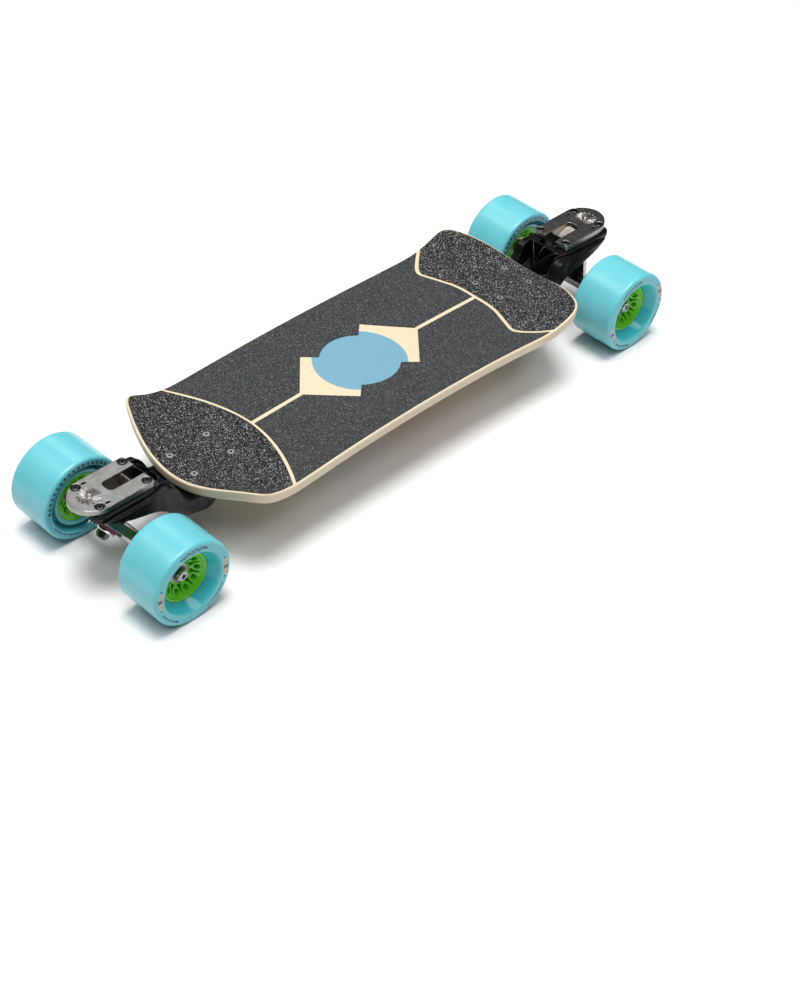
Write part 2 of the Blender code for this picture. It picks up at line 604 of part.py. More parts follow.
def hanger(name, mat):
    n = 20
    tube = [(-TUBE_Y, 8.6), (-TUBE_Y + 16, 8.9), (-34.0, TUBE_R), (34.0, TUBE_R), (TUBE_Y - 16, 8.9), (TUBE_Y, 8.6)]
    o = turned(name, tube, AXLE_PT, (0, 1, 0), n, mat)
    # triangular yoke
    out = [(-44.0, -1.0), (-36.0, 8.0), (-25.0, 24.5), (-15.5, 40.5), (-7.4, 54.0), (7.4, 54.0), (15.5, 40.5), (25.0, 24.5), (36.0, 8.0), (44.0, -1.0)]
    verts = [sk(s, -8.0, y) for y, s in out] + [sk(s, 3.0, y * 0.955) for y, s in out]
    k = len(out)
    faces = [tuple(range(k)), tuple(range(k, 2 * k))[::-1]] + [(i, (i + 1) % k, k + (i + 1) % k, k + i) for i in range(k)]
    join(o, mesh_object("c", verts, faces, None), "UNION")
    # pivot nose on the steering axis
    join(o, turned("c", [(46.0, 6.4), (54.0, 7.3), (58.0, 7.2), (66.0, 5.8), (68.4, 3.6), (69.0, 0.0)], PIVOT_PT, S3, 16), "UNION")
    # seats of the two bushings and the kingpin's hole
    for k0, k1, ry, rs, u in ((-3.6, 20.0, 15.4, 11.2, 16), (4.5, 12.0, 19.0, 15.6, 20)):
        seat = []
        for kk in (k0, k1):
            seat += [sk(PIN_S + rs * math.sin(2 * math.pi * i / u), kk, ry * math.cos(2 * math.pi * i / u)) for i in range(u)]
        join(o, hull("c", seat))
    join(o, cylinder("c", PIN_PT, K3, -20.0, -6.4, 13.4, 20))
    join(o, cylinder("c", PIN_PT, K3, -20.0, 20.0, 6.6, 16))
    # drop-shaped window
    win = [(-7.6, 37.0), (-8.2, 40.5), (-6.2, 45.5), (-2.4, 51.0), (2.4, 51.0), (6.2, 45.5), (8.2, 40.5), (7.6, 37.0), (3.0, 35.2), (-3.0, 35.2)]
    verts = [sk(s, -20.0, y) for y, s in win] + [sk(s, 20.0, y) for y, s in win]
    k = len(win)
    faces = [tuple(range(k)), tuple(range(k, 2 * k))[::-1]] + [(i, (i + 1) % k, k + (i + 1) % k, k + i) for i in range(k)]
    join(o, mesh_object("c", verts, faces, None))
    join(o, cylinder("c", AXLE_PT, (0, 1, 0), -90, 90, AXLE_R + GAP, 16))
    return o


def bolt(name, x, y, z_top, head_r, head_h, z_nut, z_end, nut_r, mat, sunk):
    """Screw with its lock nut, head up. sunk makes a countersunk head."""
    if sunk:
        head = [(z_top - 2.6, 2.3), (z_top - 0.9, head_r), (z_top, head_r), (z_top, 1.8), (z_top - 1.6, 1.8), (z_top - 1.6, 0.0)]
    else:
        head = [(z_top - head_h, 2.3), (z_top - head_h, head_r), (z_top, head_r), (z_top, 2.0), (z_top - 1.8, 2.0), (z_top - 1.8, 0.0)]
    o = turned(name, [(z_end, 0.0), (z_end, 2.3)] + head, (x, y, 0), (0, 0, 1), 8, mat)
    boolean(o, cylinder("c", (x, y, 0), (0, 0, 1), z_nut, z_nut + 5.0, nut_r, 6), "UNION")
    return o


def flip(o):
    """Turns a piece of the nose end by half a turn about Z, for the tail end."""
    o.data.transform(Matrix.Rotation(math.pi, 4, "Z"))
    return o


def set_origin(o, p):
    """Moves the origin to a point in millimetres, keeping the mesh where it is."""
    v = Vector([c * MM for c in p])
    o.data.transform(Matrix.Translation(-v))
    o.location = v
    return o


def wheel(tag, sx, sy, mats):
    """Tyre, core, two bearings and axle nut of one wheel, in the wheel's own place."""
    c = (sx * AXLE_X, 0.0, WHEEL_R)
    ax = (0, sy, 0)
    tyre = [(WHEEL_IN, 40.6), (WHEEL_IN, 49.6), (WHEEL_IN + 0.9, 51.6), (WHEEL_IN + 2.9, WHEEL_R), (WHEEL_OUT - 2.9, WHEEL_R), (WHEEL_OUT - 0.9, 51.6),
            (WHEEL_OUT, 49.6), (WHEEL_OUT, 39.6), (110.0, 31.0), (66.7, 31.0), (64.9, 33.9), (69.6, 36.4), (63.0, 39.8)]
    parts = [turned("tyre_" + tag, tyre, c, ax, 30, mats["tyre"], closed=True)]
    core = [(109.8, 30.3), (109.8, 28.4), (103.6, 17.6), (101.2, 13.6), (101.2, 11.3), (93.1, 11.3), (93.1, 8.4),
            (83.5, 8.4), (83.5, 11.3), (76.0, 11.3), (76.0, 13.6), (68.6, 27.2), (66.9, 30.3)]
    k = turned("core_" + tag, core, c, ax, 16, mats["core"], closed=True)
    for i in range(10):
        a = 2 * math.pi * i / 10
        p = (c[0] + 22.4 * math.cos(a), 0.0, c[2] + 22.4 * math.sin(a))
        boolean(k, cylinder("c", p, ax, 50, 130, 3.1, 6))
    parts.append(k)
    for nm, y0 in (("inner", BEARING_IN), ("outer", BEARING_OUT)):
        y1 = y0 + BEARING_W
        prof = [(y0, AXLE_R + GAP), (y0, BEARING_R), (y1, BEARING_R), (y1, AXLE_R + GAP)]
        parts.append(turned("bearing_%s_%s" % (nm, tag), prof, c, ax, 14, mats["bearing"], closed=True))
    for o in parts:
        set_origin(o, (c[0], sy * 92.3, c[2]))
    y0 = BEARING_OUT + BEARING_W + GAP
    nut = turned("axle_nut_" + tag, [(y0, 0.0), (y0, 7.3), (y0 + 4.6, 7.3), (y0 + 5.0, 6.2), (y0 + 6.6, 5.9), (y0 + 6.6, 0.0)], c, ax, 6, mats["steel"])
    boolean(nut, cylinder("c", c, ax, y0 - 2.0, y0 + 9.0, AXLE_R + GAP, 12))
    set_origin(nut, (c[0], sy * 92.3, c[2]))
    return parts + [nut]


def truck(tag, sx, mats):
    """All pieces of one truck with its bracket and bolts, built for the nose and turned for the tail."""
    parts = []
    parts.append(bracket("bracket_" + tag, mats["bracket"]))
    parts.append(baseplate("baseplate_" + tag, mats["cast"]))
    h = hanger("hanger_" + tag, mats["cast"])
    axle = cylinder("axle_" + tag, AXLE_PT, (0, 1, 0), -107.8, 107.8, AXLE_R, 16, mats["steel"])
    # kingpin with its lock nut: head in the baseplate's pocket
    pin = cylinder("kingpin_" + tag, PIN_PT, K3, -44.0, 20.8, 5.0, 12, mats["steel"])
    boolean(pin, turned("c", [(-45.8, 0.0), (-45.8, 6.4), (-45.0, 7.4), (-38.3, 7.4), (-38.3, 0.0)], PIN_PT, K3, 6), "UNION")
    boolean(pin, turned("c", [(11.9, 0.0), (11.9, 7.6), (18.2, 7.6), (18.6, 6.4), (19.9, 6.1), (19.9, 0.0)], PIN_PT, K3, 6), "UNION")
    parts.append(pin)
    parts.append(turned("bushing_board_" + tag, [(-18.2, 5.4), (-18.2, 11.0), (-17.0, 12.0), (-9.0, 12.9), (-6.8, 12.4), (-6.8, 5.4)],
                        PIN_PT, K3, 16, mats["bushing"], closed=True))
    parts.append(turned("bushing_road_" + tag, [(-3.3, 5.4), (-3.3, 10.8), (4.8, 10.8), (4.8, 13.2), (8.3, 11.2), (9.6, 10.2), (9.6, 5.4)],
                        PIN_PT, K3, 16, mats["bushing"], closed=True))
    parts.append(turned("washer_board_" + tag, [(-19.8, 5.4), (-19.8, 12.4), (-17.4, 13.4), (-17.4, 12.6), (-18.5, 11.9), (-18.5, 5.4)],
                        PIN_PT, K3, 16, mats["chrome"], closed=True))
    parts.append(turned("washer_road_" + tag, [(11.5, 5.4), (11.5, 11.2), (8.6, 12.3), (8.6, 11.6), (9.9, 10.7), (9.9, 5.4)],
                        PIN_PT, K3, 16, mats["chrome"], closed=True))
    for i, bx in enumerate(TRUCK_BOLT_X):
        for j, sy in enumerate((-1, 1)):
            parts.append(bolt("truck_bolt_%s_%d" % (tag, 2 * i + j + 1), bx, sy * BOLT_Y, BASE_TOP + 0.3, 4.6, 2.2, 96.2, 93.6, 5.0, mats["bolt"], False))
    for o in parts:
        if sx < 0:
            flip(o)
    if sx < 0:
        flip(h)
        flip(axle)
    pv = PIVOT_PT
    set_origin(h, (sx * pv[0], 0.0, pv[2]))
    set_origin(axle, (sx * AXLE_X, 0.0, WHEEL_R))
    return parts + [h, axle]


def main():
    clear()
    mats = {
        "deck": material("deck_wood", (0.80, 0.68, 0.50), 0.0, 0.45),
        "grip_coarse": material("grip_coarse", (0.020, 0.020, 0.022), 0.0, 0.95),
        "grip_fine": material("grip_fine", (0.050, 0.056, 0.064), 0.0, 0.9),
        "bracket": material("bracket_black", (0.014, 0.014, 0.015), 0.0, 0.38),
        "cast": material("cast_metal", (0.46, 0.45, 0.43), 1.0, 0.38),
        "steel": material("steel", (0.62, 0.62, 0.62), 1.0, 0.28),
        "chrome": material("chrome", (0.80, 0.80, 0.80), 1.0, 0.12),
        "bolt": material("bolt_dark", (0.10, 0.10, 0.10), 1.0, 0.4),
        "bushing": material("bushing_red", (0.22, 0.008, 0.012), 0.0, 0.32),
        "tyre": material("tyre_blue", (0.16, 0.62, 0.72), 0.0, 0.28),
        "core": material("core_green", (0.16, 0.52, 0.05), 0.0, 0.36),
        "bearing": material("bearing_dark", (0.09, 0.045, 0.045), 0.6, 0.4),
    }
    deck(mats["deck"])
    pad("grip_nose", mats["grip_coarse"], True)
    pad("grip_tail", mats["grip_coarse"], False)
    middle("grip_left", mats["grip_fine"], 1)
    middle("grip_right", mats["grip_fine"], -1)
    for tag, sx in (("nose", 1), ("tail", -1)):
        truck(tag, sx, mats)
        for i, bx in enumerate(DECK_BOLT_X):
            for j, sy in enumerate((-1, 1)):
                x, y = sx * bx, sy * sx * BOLT_Y
                top = deck_top(x, y) + GRIP_GAP + GRIP_T + 0.1
                nut = 55.1 if bx < 240 else 58.7
                bolt("deck_bolt_%s_%d" % (tag, 2 * i + j + 1), x, y, top, 3.8, 2.0, nut - (0.0 if bx < 240 else 0.0), nut - 1.2, 4.9, mats["bolt"], True)
        for side, sy in (("left", 1), ("right", -1)):
            wheel("%s_%s" % (tag, side), sx, sy, mats)
    # shade the round pieces smooth where their facets are small
    for o in bpy.data.objects:
        if o.type == "MESH":
            for p in o.data.polygons:
                p.use_smooth = False


main()
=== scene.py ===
"""Looks of the longboard: fine meshes, procedural materials, camera, floor and light."""
import math
import bpy
import bmesh
import numpy as np
from mathutils import Vector, Matrix
from mathutils.geometry import delaunay_2d_cdt


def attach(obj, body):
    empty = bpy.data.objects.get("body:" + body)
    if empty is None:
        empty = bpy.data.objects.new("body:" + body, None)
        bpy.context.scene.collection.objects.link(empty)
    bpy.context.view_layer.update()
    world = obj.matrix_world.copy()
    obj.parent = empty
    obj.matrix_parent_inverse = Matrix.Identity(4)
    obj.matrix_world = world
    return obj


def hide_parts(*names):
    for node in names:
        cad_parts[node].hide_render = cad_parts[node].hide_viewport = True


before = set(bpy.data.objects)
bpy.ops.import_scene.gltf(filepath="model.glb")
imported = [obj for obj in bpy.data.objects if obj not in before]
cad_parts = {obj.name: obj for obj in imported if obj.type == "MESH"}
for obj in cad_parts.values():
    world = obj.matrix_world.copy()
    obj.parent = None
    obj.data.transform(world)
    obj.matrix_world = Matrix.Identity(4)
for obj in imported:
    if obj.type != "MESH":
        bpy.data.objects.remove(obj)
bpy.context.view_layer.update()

MM = 0.001
AXLE_X, WHEEL_R = 362.0, 52.5
WHEEL_IN, WHEEL_OUT, WHEEL_MID = 61.3, 123.3, 92.3
GAP = 0.3
DECK_T, DECK_Z0, CAMBER = 14.0, 93.5, 5.1
DECK_BOLT_X, TRUCK_BOLT_X, BOLT_Y = (218.5, 271.5), (336.4, 399.9), 20.6
BASE_TOP, FLANGE_T = 117.0, 6.7
PIN_S, PIVOT_K = 16.0, -5.0
TUBE_R, TUBE_Y, AXLE_R = 9.5, 75.4, 4.0
BEARING_R, BEARING_W, BEARING_IN, BEARING_OUT = 11.0, 7.0, 76.2, 93.4
SA = math.radians(50.0)
S_DIR = (math.cos(SA), math.sin(SA))
K_DIR = (math.sin(SA), -math.cos(SA))

# half outline of the deck's top edge, tail tip to nose tip
OUTLINE = [
    (-290.5, 0.0), (-289.6, 20.0), (-287.4, 38.0), (-282.8, 58.0), (-276.0, 78.0), (-268.5, 94.5),
    (-262.4, 106.0), (-255.0, 113.4), (-246.0, 116.0), (-235.0, 115.6), (-219.0, 114.2), (-200.0, 112.9),
    (-170.0, 112.0), (-108.0, 111.2), (0.0, 110.8), (100.0, 111.2), (165.0, 112.8), (198.0, 114.4),
    (220.0, 115.6), (238.0, 116.1), (249.8, 114.9), (258.2, 109.8), (265.4, 100.6), (274.0, 84.8),
    (283.0, 64.8), (289.4, 45.0), (293.6, 22.0), (295.0, 0.0),
]
TIP = float(len(OUTLINE) - 1)
MID_CUT_NOSE = [(0, 193.7), (14, 193.6), (27, 192.6), (38, 190.2), (47, 186.8), (60, 181.8), (70, 178.0), (76, 176.0),
                (80, 176.1), (84, 177.8), (88, 180.6), (95, 187.4), (104, 197.6), (113, 208.6), (120, 216.0)]
PAD_CUT_NOSE = [(0, 199.0), (14, 198.9), (27, 198.0), (38, 195.6), (47, 192.3), (60, 187.3), (70, 183.4), (75, 181.5),
                (79, 181.7), (83, 183.5), (88, 187.3), (95, 194.4), (104, 204.4), (113, 215.0), (120, 222.0)]
RAIL_MARGIN = 2.9


# ---------------------------------------------------------------- mesh helpers
def link(name, me):
    o = bpy.data.objects.new(name, me)
    bpy.context.scene.collection.objects.link(o)
    return o


def mesh_object(name, verts, faces, fix=True):
    me = bpy.data.meshes.new(name)
    me.from_pydata([(float(v[0]) * MM, float(v[1]) * MM, float(v[2]) * MM) for v in verts], [], faces)
    me.update()
    if fix:
        bm = bmesh.new()
        bm.from_mesh(me)
        bmesh.ops.remove_doubles(bm, verts=bm.verts, dist=1e-6)
        bmesh.ops.recalc_face_normals(bm, faces=bm.faces)
        bm.to_mesh(me)
        bm.free()
    return link(name, me)


def apply(o):
    """Replaces the mesh by the object's evaluated mesh."""
    bpy.context.view_layer.update()
    dg = bpy.context.evaluated_depsgraph_get()
    me = bpy.data.meshes.new_from_object(o.evaluated_get(dg))
    o.modifiers.clear()
    old = o.data
    o.data = me
    bpy.data.meshes.remove(old)
    me.name = o.name
    return o


def boolean(o, cutter, op="DIFFERENCE", flat=0.0002):
    m = o.modifiers.new("cut", "BOOLEAN")
    m.solver = "EXACT"
    m.operation = op
    m.object = cutter
    apply(o)
    cm = cutter.data
    bpy.data.objects.remove(cutter, do_unlink=True)
    bpy.data.meshes.remove(cm)
    bm = bmesh.new()
    bm.from_mesh(o.data)
    bmesh.ops.remove_doubles(bm, verts=bm.verts, dist=2e-6)
    bmesh.ops.dissolve_limit(bm, angle_limit=flat, verts=bm.verts, edges=bm.edges)
    bm.to_mesh(o.data)
    bm.free()
    return o


def join(o, cutter, op="DIFFERENCE"):
    return boolean(o, cutter, op, 0.001)


def merge(a, *others):
    """Puts several meshes into the first one; they stay separate shells."""
    bm = bmesh.new()
    for o in (a,) + others:
        bm.from_mesh(o.data)
    bm.to_mesh(a.data)
    bm.free()
    for o in others:
        m = o.data
        bpy.data.objects.remove(o, do_unlink=True)
        bpy.data.meshes.remove(m)
    return a


def smooth(o, degrees=35.0):
    o.data.shade_smooth()
    o.data.set_sharp_from_angle(angle=math.radians(degrees))
    return o


def soften(o, voxel, rounds, ratio, factor=0.5):
    """Rounds every edge as casting or moulding does: fine remesh, smoothing, fewer faces again."""
    m = o.modifiers.new("v", "REMESH")
    m.mode = "VOXEL"
    m.voxel_size = voxel * MM
    m.adaptivity = 0.0
    m = o.modifiers.new("s", "SMOOTH")
    m.factor = factor
    m.iterations = rounds
    m = o.modifiers.new("d", "DECIMATE")
    m.ratio = ratio
    apply(o)
    keep_largest(o)
    o.data.shade_smooth()
    return o


def keep_largest(o):
    """Removes specks that the remesh leaves beside the piece."""
    bm = bmesh.new()
    bm.from_mesh(o.data)
    seen, groups = set(), []
    for v in bm.verts:
        if v in seen:
            continue
        stack, grp = [v], []
        seen.add(v)
        while stack:
            a = stack.pop()
            grp.append(a)
            for e in a.link_edges:
                b = e.other_vert(a)
                if b not in seen:
                    seen.add(b)
                    stack.append(b)
        groups.append(grp)
    if len(groups) > 1:
        big = max(groups, key=len)
        bmesh.ops.delete(bm, geom=[v for g in groups if g is not big for v in g], context="VERTS")
        bm.to_mesh(o.data)
    bm.free()


def bevelled(o, width, segments=2, degrees=30.0):
    m = o.modifiers.new("b", "BEVEL")
    m.width = width * MM
    m.segments = segments
    m.limit_method = "ANGLE"
    m.angle_limit = math.radians(degrees)
    m.harden_normals = False
    apply(o)
    return o


def prism(name, poly, lo, hi, plane):
    """Extrudes a polygon. plane 'xy' runs along z, 'xz' along y, 'yz' along x; lo and hi may be functions of the point."""
    def at(p, t):
        if plane == "xy":
            return (p[0], p[1], t)
        if plane == "xz":
            return (p[0], t, p[1])
        return (t, p[0], p[1])
    n = len(poly)
    a = [at(p, lo(p) if callable(lo) else lo) for p in poly]
    b = [at(p, hi(p) if callable(hi) else hi) for p in poly]
    faces = [tuple(range(n))[::-1], tuple(range(n, 2 * n))]
    faces += [(i, (i + 1) % n, n + (i + 1) % n, n + i) for i in range(n)]
    return mesh_object(name, a + b, faces)


def sections(name, rows, profile):
    """Lofts an xz profile through rows of (y, lift or None); a lift raises each point of that row."""
    k = len(profile)
    verts, faces = [], []
    for y, lift in rows:
        for i, (x, z) in enumerate(profile):
            verts.append((x, y, z + (lift[i] if lift else 0.0)))
    for r in range(len(rows) - 1):
        for i in range(k):
            j = (i + 1) % k
            faces.append((r * k + i, r * k + j, (r + 1) * k + j, (r + 1) * k + i))
    m = (len(rows) - 1) * k
    faces += [tuple(range(k))[::-1], tuple(range(m, m + k))]
    return mesh_object(name, verts, faces)


def hull(name, points):
    bm = bmesh.new()
    for p in points:
        bm.verts.new(tuple(c * MM for c in p))
    res = bmesh.ops.convex_hull(bm, input=bm.verts)
    drop = {g for g in res["geom_interior"] + res["geom_unused"] if isinstance(g, bmesh.types.BMVert) and g.is_valid}
    bmesh.ops.delete(bm, geom=sorted(drop, key=lambda g: g.index), context="VERTS")
    bmesh.ops.recalc_face_normals(bm, faces=bm.faces)
    me = bpy.data.meshes.new(name)
    bm.to_mesh(me)
    bm.free()
    return link(name, me)


def basis(d):
    d = Vector(d).normalized()
    a = Vector((0, 1, 0)) if abs(d.y) < 0.9 else Vector((1, 0, 0))
    u = a.cross(d).normalized()
    return u, d.cross(u), d


def turned(name, profile, origin, axis, n, closed=False, phase=0.0):
    """Turns a profile of (distance along the axis, radius) round the axis. closed makes a ring with a bore."""
    u, v, d = basis(axis)
    o = Vector(origin)
    verts, rings = [], []
    for t, r in profile:
        if r <= 1e-9:
            rings.append([len(verts)])
            verts.append(tuple(o + d * t))
            continue
        ring = []
        for i in range(n):
            a = 2 * math.pi * (i + phase) / n
            ring.append(len(verts))
            verts.append(tuple(o + d * t + (u * math.cos(a) + v * math.sin(a)) * r))
        rings.append(ring)
    faces = []
    pairs = list(zip(rings, rings[1:]))
    if closed:
        pairs.append((rings[-1], rings[0]))
    for a, b in pairs:
        if len(a) == 1 and len(b) == 1:
            continue
        for i in range(n):
            j = (i + 1) % n
            if len(a) == 1:
                faces.append((a[0], b[j], b[i]))
            elif len(b) == 1:
                faces.append((a[i], a[j], b[0]))
            else:
                faces.append((a[i], a[j], b[j], b[i]))
    if not closed:
        if len(rings[0]) > 1:
            faces.append(tuple(rings[0])[::-1])
        if len(rings[-1]) > 1:
            faces.append(tuple(rings[-1]))
    return mesh_object(name, verts, faces)


def cylinder(name, origin, axis, t0, t1, r, n=32, phase=0.0):
    return turned(name, [(t0, r), (t1, r)], origin, axis, n, phase=phase)


def rounded(profile, radius, steps=4, closed=False):
    """Rounds the corners of a turned profile; radius is one number or one for each corner."""
    n = len(profile)
    out = []
    for i, p in enumerate(profile):
        r = radius[i] if isinstance(radius, (list, tuple)) else radius
        if (not closed and i in (0, n - 1)) or r <= 0:
            out.append(p)
            continue
        a, c = np.array(profile[i - 1], float), np.array(profile[(i + 1) % n], float)
        b = np.array(p, float)
        la, lc = np.hypot(*(a - b)), np.hypot(*(c - b))
        k = min(r, 0.48 * la, 0.48 * lc)
        if k < 1e-4:
            out.append(p)
            continue
        s, e = b + (a - b) / la * k, b + (c - b) / lc * k
        for j in range(steps + 1):
            t = j / steps
            q = (1 - t) ** 2 * s + 2 * t * (1 - t) * b + t * t * e
            out.append((float(q[0]), float(q[1])))
    return out


# ---------------------------------------------------------------- deck surface
def spline(points, t):
    """Catmull-Rom through points; t counts from point to point."""
    k = min(max(int(math.floor(t)), 0), len(points) - 2)
    f = t - k
    p = [np.array(points[min(max(k + j, 0), len(points) - 1)], float) for j in (-1, 0, 1, 2)]
    if k == 0:
        p[0] = np.array([points[1][0], -points[1][1]], float)
    if k == len(points) - 2:
        p[3] = np.array([points[-2][0], -points[-2][1]], float)
    return 0.5 * (2 * p[1] + (p[2] - p[0]) * f + (2 * p[0] - 5 * p[1] + 4 * p[2] - p[3]) * f * f
                  + (3 * p[1] - p[0] - 3 * p[2] + p[3]) * f ** 3)


def edge_point(t, inset=0.0, side=1):
    """Point of the outline; t 0 is the tail tip and TIP the nose tip, side is 1 for left and -1 for right."""
    a = spline(OUTLINE, t)
    if inset:
        h = 1e-3
        q0, q1 = spline(OUTLINE, max(t - h, 0.0)), spline(OUTLINE, min(t + h, TIP))
        d = q1 - q0
        if t <= h:
            d = np.array([0.0, 1.0])
        if t >= TIP - h:
            d = np.array([0.0, -1.0])
        d = d / np.hypot(*d)
        a = a + inset * np.array([d[1], -d[0]])
    return np.array([a[0], a[1] * side])


def deck_top(x, y):
    """Height of the deck's top: camber along, concave across, corners that flare up at both ends."""
    w = min(abs(y) / 114.0, 1.04)
    z = DECK_Z0 - CAMBER * (x / 245.0) ** 2
    c = max(2.0, 5.0 - 3.0 * (x / 175.0) ** 2)
    z += c * w * w
    if abs(x) > 190.0:
        z += 44.0 * ((abs(x) - 190.0) / 100.0 * w) ** 2
    return z


def outline_params(step):
    """Parameters along one side, evenly spaced by length."""
    t = np.linspace(0.0, TIP, 1601)
    p = np.array([spline(OUTLINE, k) for k in t])
    d = np.r_[0, np.cumsum(np.hypot(*np.diff(p, axis=0).T))]
    n = int(round(d[-1] / step))
    return np.interp(np.linspace(0, d[-1], n + 1), d, t)


STEP = 2.6
PARAMS = outline_params(STEP)


def ring(inset):
    """Closed plan loop round the deck, from the tail tip along the left side to the nose and back along the right."""
    left = [edge_point(t, inset, 1) for t in PARAMS]
    right = [edge_point(t, inset, -1) for t in PARAMS]
    return left + right[-2:0:-1]


def tail_arc(y, pad):
    a = abs(y) / 112.0
    return -(171.0 if pad else 167.5) - 36.8 * a ** 1.9 - (1.5 * a if pad else 0.0)


def nose_arc(y, pad):
    """Smooth curve through the table of the nose cut."""
    table = PAD_CUT_NOSE if pad else MID_CUT_NOSE
    ys, xs = [float(p[0]) for p in table], [p[1] for p in table]
    y = abs(y)
    k = min(max(int(np.searchsorted(ys, y, side="right")) - 1, 0), len(ys) - 2)
    h = ys[k + 1] - ys[k]

    def slope(i):
        if i == 0:
            return 0.0
        if i == len(ys) - 1:
            return (xs[i] - xs[i - 1]) / (ys[i] - ys[i - 1])
        return (xs[i + 1] - xs[i - 1]) / (ys[i + 1] - ys[i - 1])
    f = (y - ys[k]) / h
    m0, m1 = slope(k) * h, slope(k + 1) * h
    return ((2 * f ** 3 - 3 * f * f + 1) * xs[k] + (f ** 3 - 2 * f * f + f) * m0
            + (-2 * f ** 3 + 3 * f * f) * xs[k + 1] + (f ** 3 - f * f) * m1)


def inside(poly, pts):
    """Which points lie inside a closed polygon."""
    poly, pts = np.asarray(poly, float), np.asarray(pts, float)
    hit = np.zeros(len(pts), bool)
    x, y = pts[:, 0], pts[:, 1]
    a = poly
    b = np.roll(poly, -1, axis=0)
    for (x0, y0), (x1, y1) in zip(a, b):
        if y0 == y1:
            continue
        c = ((y0 > y) != (y1 > y)) & (x < (x1 - x0) * (y - y0) / (y1 - y0) + x0)
        hit ^= c
    return hit


def near(loops, pts, r):
    """Which points lie within r of a loop's points."""
    out = np.zeros(len(pts), bool)
    p = np.asarray(pts, float)
    for lp in loops:
        q = np.asarray(lp, float)
        q = np.vstack([q, (q + np.roll(q, -1, axis=0)) / 2])
        for i in range(0, len(p), 2000):
            d = np.hypot(p[i:i + 2000, None, 0] - q[None, :, 0], p[i:i + 2000, None, 1] - q[None, :, 1]).min(1)
            out[i:i + 2000] |= d < r
    return out


def fill(outer, holes, step):
    """Triangles in plan between an outer loop and holes, with inner points on a grid."""
    lo, hi = np.min(outer, axis=0), np.max(outer, axis=0)
    gx = np.arange(math.floor(lo[0] / step) * step, hi[0] + step, step)
    gy = np.arange(math.floor(lo[1] / step) * step, hi[1] + step, step)
    g = np.array([(x + (0.5 * step if k % 2 else 0.0), y) for k, y in enumerate(gy) for x in gx])
    ok = inside(outer, g)
    for h in holes:
        ok &= ~inside(h, g)
    g = g[ok]
    g = g[~near([outer] + list(holes), g, step * 0.55)]
    pts, edges, first = [], [], []
    for lp in [outer] + list(holes):
        s = len(pts)
        first.append(s)
        pts += [Vector((float(p[0]), float(p[1]))) for p in lp]
        edges += [(s + i, s + (i + 1) % len(lp)) for i in range(len(lp))]
    pts += [Vector((float(p[0]), float(p[1]))) for p in g]
    out, _, tris, orig, _, _ = delaunay_2d_cdt(pts, edges, [], 0, 1e-5)
    back = {}
    for i, o in enumerate(orig):
        for k in o:
            back[k] = i
    co = np.array([(v.x, v.y) for v in out])
    cen = np.array([co[list(t)].mean(0) for t in tris])
    ok = inside(outer, cen)
    for h in holes:
        ok &= ~inside(h, cen)
    tris = [tuple(t) for t, k in zip(tris, ok) if k]
    loops = [[back[s + i] for i in range(len(lp))] for s, lp in zip(first, [outer] + list(holes))]
    return co, tris, loops


def circle(x, y, r, n):
    return [(x + r * math.cos(2 * math.pi * i / n), y + r * math.sin(2 * math.pi * i / n)) for i in range(n)]


def make_deck():
    """Top, rounded rail, underside and countersunk bolt holes as one closed skin."""
    k = 5
    prof = [(2.4 - 2.4 * math.sin(a), 2.0 - 2.0 * math.cos(a)) for a in np.linspace(0, math.pi / 2, k)]
    prof += [(0.0, 4.2), (0.0, 6.4)]
    prof += [(5.0 - 5.0 * math.cos(a), 8.6 + (DECK_T - 8.6) * math.sin(a)) for a in np.linspace(0, math.pi / 2, k + 3)]
    n_h = 24
    bolts = [(sx * bx, sy * BOLT_Y) for sx in (-1, 1) for bx in DECK_BOLT_X for sy in (-1, 1)]
    grid = 4.5
    top, ttop, ltop = fill(ring(prof[0][0]), [circle(x, y, 4.3, n_h) for x, y in bolts], grid)
    bot, tbot, lbot = fill(ring(prof[-1][0]), [circle(x, y, 2.8, n_h) for x, y in bolts], grid)
    verts, faces, slot = [], [], []
    verts += [(x, y, deck_top(x, y)) for x, y in top]
    faces += [tuple(t) for t in ttop]
    slot += [0] * len(ttop)
    nt = len(verts)
    verts += [(x, y, deck_top(x, y) - DECK_T) for x, y in bot]
    faces += [tuple(nt + i for i in t[::-1]) for t in tbot]
    slot += [2] * len(tbot)
    prev = ltop[0]
    m = len(prev)
    for q, (inset, drop) in enumerate(prof[1:]):
        if q == len(prof) - 2:
            cur = [nt + i for i in lbot[0]]
        else:
            cur = list(range(len(verts), len(verts) + m))
            verts += [(p[0], p[1], deck_top(p[0], p[1]) - drop) for p in ring(inset)]
        faces += [(prev[i], cur[i], cur[(i + 1) % m], prev[(i + 1) % m]) for i in range(m)]
        slot += [1] * m
        prev = cur
    for (x, y), a, b in zip(bolts, ltop[1:], lbot[1:]):
        z = deck_top(x, y)
        rows = [a]
        for dz, r in ((0.8, 4.3), (2.9, 2.8)):
            rows.append(list(range(len(verts), len(verts) + n_h)))
            verts += [(p[0], p[1], z - dz) for p in circle(x, y, r, n_h)]
        rows.append([nt + i for i in b])
        for r0, r1 in zip(rows, rows[1:]):
            faces += [(r0[i], r0[(i + 1) % n_h], r1[(i + 1) % n_h], r1[i]) for i in range(n_h)]
            slot += [1] * n_h
    o = mesh_object("deck_skin", verts, faces, fix=False)
    o.data.polygons.foreach_set("material_index", slot)
    bm = bmesh.new()
    bm.from_mesh(o.data)
    bmesh.ops.recalc_face_normals(bm, faces=bm.faces)
    bm.to_mesh(o.data)
    bm.free()
    return smooth(o, 40)


